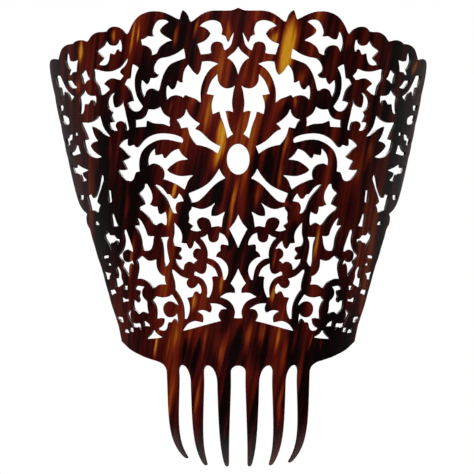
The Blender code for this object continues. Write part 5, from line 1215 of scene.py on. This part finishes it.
class CombStage(bpy.types.PropertyGroup):
    """The floor, the lights and the camera."""
    distance: length("Camera distance", "From the camera to the object's origin", 1.4, 0.5, 4)
    height: length("Camera height", "Height of the level camera", 0.075, -0.5, 1.0)
    aside: length("Camera aside", "Sideways place of the camera", -0.0007, -0.1, 0.1)
    lens: FloatProperty(name="Focal length", description="Camera focal length",
                        default=186.5, min=50, max=400, unit="CAMERA")
    floor_height: length("Floor height", "Height of the floor", -0.2, -0.5, -0.056)
    floor_radius: length("Floor radius", "Radius of the round floor", 0.36, 0.1, 2.0)
    floor_colour: colour("Floor colour", "Colour of the floor", (0.64, 0.64, 0.63))
    key_power: FloatProperty(name="Key light", description="Power of the main soft light",
                             default=34.0, min=0.0, unit="POWER")
    fill_power: FloatProperty(name="Fill light", description="Power of each side light",
                              default=7.0, min=0.0, unit="POWER")
    back_power: FloatProperty(name="Back light", description="Power of the light behind",
                              default=30.0, min=0.0, unit="POWER")
    surround: FloatProperty(name="Surroundings", description="Brightness behind the comb, "
                            "as its sides mirror it", default=0.088, min=0.0, max=2.0)
    front_dim: FloatProperty(name="Dim front", description="Brightness of the side the camera "
                             "stands on", default=0.02, min=0.0, max=2.0)


# ---- the comb's pieces ------------------------------------------------------------------------

def finish_section(context, section, name, nodes_replaced, material):
    """Roll a flat section, name and colour it, and put it in its CAD nodes' place."""
    piece = bpy.data.objects.get(FLAT + section)
    if piece is None:
        raise RuntimeError("saw the sheet first: there is no flat section " + section)
    roll(piece, context.scene.comb_sheet.drawn())
    piece.name = piece.data.name = name
    piece.data.materials.clear()
    piece.data.materials.append(material)
    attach(piece, ROOT_BODY)
    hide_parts(*nodes_replaced)


class COMB_OT_saw_sheet(bpy.types.Operator):
    """Draw the sheet flat, saw its outline and openings, and part it into sections"""
    bl_idname = "comb.saw_sheet"
    bl_label = "Saw the sheet"

    def execute(self, context):
        sheet = context.scene.comb_sheet.drawn()
        part_sections(sawn_sheet(sheet), sheet)
        return {"FINISHED"}


class COMB_OT_roll_crest(bpy.types.Operator):
    """Roll the pierced crest with its two wings"""
    bl_idname = "comb.roll_crest"
    bl_label = "Roll the crest"

    def execute(self, context):
        material = tortoiseshell("crest_tortoiseshell", context.scene.comb_colours,
                                 SEAM_CREST_Z, Z_TOP)
        finish_section(context, "crest", "comb_crest",
                       ("crest_centre", "crest_left_wing", "crest_right_wing"),
                       material)
        return {"FINISHED"}


class COMB_OT_roll_band(bpy.types.Operator):
    """Roll the plain band between the crest and the teeth"""
    bl_idname = "comb.roll_band"
    bl_label = "Roll the band"

    def execute(self, context):
        material = tortoiseshell("band_tortoiseshell", context.scene.comb_colours,
                                 SEAM_TEETH_Z, SEAM_CREST_Z)
        finish_section(context, "band", "comb_band", ("base_band",), material)
        return {"FINISHED"}


class COMB_OT_roll_teeth(bpy.types.Operator):
    """Roll the six teeth, thinned and hooked in towards their tips"""
    bl_idname = "comb.roll_teeth"
    bl_label = "Roll the teeth"

    def execute(self, context):
        material = tortoiseshell("teeth_tortoiseshell", context.scene.comb_colours,
                                 min(TIPS_RIGHT), SEAM_TEETH_Z, TEETH_GLOSS)
        for number in range(1, 7):
            name = "tooth_%d" % number
            finish_section(context, name, "comb_" + name, (name,), material)
        return {"FINISHED"}


# ---- the stage --------------------------------------------------------------------------------

FLOOR_BACK = 0.20             # the floor lies mostly behind, where the front doesn't mirror it
LIGHT_SIZE, LIGHT_AIM = 0.9, Vector((0, 0, 0.07))
LIGHTS = (("key_light", (-0.3, -1.1, 1.4), "key_power"),
          ("left_light", (-1.1, -0.5, 1.3), "fill_power"),
          ("right_light", (1.1, -0.5, 1.3), "fill_power"),
          ("back_light", (0.2, 1.3, 1.2), "back_power"))
DIM_FROM, DIM_TO = 0.7, -0.1  # the surroundings dim between these directions along Y
SENSOR_WIDTH = 36.0           # millimetres


def soft_light(name, place, power):
    """Square area light that faces the comb."""
    light = bpy.data.lights.new(name, "AREA")
    light.shape, light.size, light.energy = "SQUARE", LIGHT_SIZE, power
    lamp = bpy.data.objects.new(name, light)
    bpy.context.collection.objects.link(lamp)
    lamp.location = place
    aim = LIGHT_AIM - Vector(place)
    lamp.rotation_euler = aim.to_track_quat("-Z", "Y").to_euler()


def surroundings(stage):
    """White all round, but dim on the side that the comb's front mirrors."""
    world = bpy.data.worlds.new("studio")
    world.use_nodes = True
    bpy.context.scene.world = world
    nodes = Nodes(world.node_tree)
    direction = nodes.add("ShaderNodeTexCoord", None, output=0)
    depth = nodes.add("ShaderNodeSeparateXYZ", None, {0: direction}, output=1)
    share = nodes.add("ShaderNodeMapRange", {"interpolation_type": "SMOOTHSTEP"},
                      {"Value": depth, "From Min": DIM_TO, "From Max": DIM_FROM})
    seen = nodes.add("ShaderNodeLightPath", None, output=0)
    mirrored_light = share * (stage.surround - stage.front_dim) + stage.front_dim
    strength = seen * (1 - mirrored_light) + mirrored_light
    light = nodes.add("ShaderNodeBackground", None,
                      {"Color": (1.0, 1.0, 1.0, 1.0), "Strength": strength})
    nodes.add("ShaderNodeOutputWorld", None, {"Surface": light})


class COMB_OT_set_stage(bpy.types.Operator):
    """Add the pale floor, the soft lights, the surroundings and the camera"""
    bl_idname = "comb.set_stage"
    bl_label = "Set the stage"

    def execute(self, context):
        scene, stage = context.scene, context.scene.comb_stage
        bpy.ops.object.select_all(action="DESELECT")
        bpy.ops.mesh.primitive_circle_add(vertices=96, radius=stage.floor_radius,
                                          fill_type="NGON",
                                          location=(0, FLOOR_BACK, stage.floor_height))
        floor = context.active_object
        floor.name = "floor"
        bpy.ops.object.transform_apply(location=True, rotation=True, scale=True)
        floor.data.materials.append(floor_finish(stage.floor_colour))

        for name, place, power in LIGHTS:
            soft_light(name, place, getattr(stage, power))
        surroundings(stage)

        lens = bpy.data.cameras.new("front_camera")
        lens.lens, lens.sensor_width = stage.lens, SENSOR_WIDTH
        camera = bpy.data.objects.new("front_camera", lens)
        context.collection.objects.link(camera)
        camera.location = (stage.aside, -stage.distance, stage.height)
        camera.rotation_euler = (math.radians(90), 0, 0)
        scene.camera = camera
        scene.view_settings.view_transform = "Standard"
        return {"FINISHED"}


class COMB_PT_panel(bpy.types.Panel):
    """Sidebar panel with the comb's settings and operators"""
    bl_idname = "COMB_PT_panel"
    bl_label = "Openwork hair comb"
    bl_space_type = "VIEW_3D"
    bl_region_type = "UI"
    bl_category = "Comb"

    def draw(self, context):
        layout = self.layout
        for operator in OPERATORS:
            layout.operator(operator.bl_idname)
        for group in (context.scene.comb_sheet, context.scene.comb_colours,
                      context.scene.comb_stage):
            box = layout.box()
            for name in group.bl_rna.properties.keys():
                if name not in ("rna_type", "name"):
                    box.prop(group, name)


OPERATORS = (COMB_OT_saw_sheet, COMB_OT_roll_crest, COMB_OT_roll_band, COMB_OT_roll_teeth,
             COMB_OT_set_stage)
CLASSES = (CombSheet, CombColours, CombStage, *OPERATORS, COMB_PT_panel)


def register():
    """Add the settings, the operators and the panel."""
    for cls in CLASSES:
        bpy.utils.register_class(cls)
    bpy.types.Scene.comb_sheet = PointerProperty(type=CombSheet)
    bpy.types.Scene.comb_colours = PointerProperty(type=CombColours)
    bpy.types.Scene.comb_stage = PointerProperty(type=CombStage)


def unregister():
    """Take them away again."""
    del bpy.types.Scene.comb_stage
    del bpy.types.Scene.comb_colours
    del bpy.types.Scene.comb_sheet
    for cls in reversed(CLASSES):
        bpy.utils.unregister_class(cls)


def main():
    """Build the comb and its stage."""
    register()
    bpy.ops.comb.saw_sheet()
    bpy.ops.comb.roll_crest()
    bpy.ops.comb.roll_band()
    bpy.ops.comb.roll_teeth()
    bpy.ops.comb.set_stage()


if __name__ == "__main__":
    main()
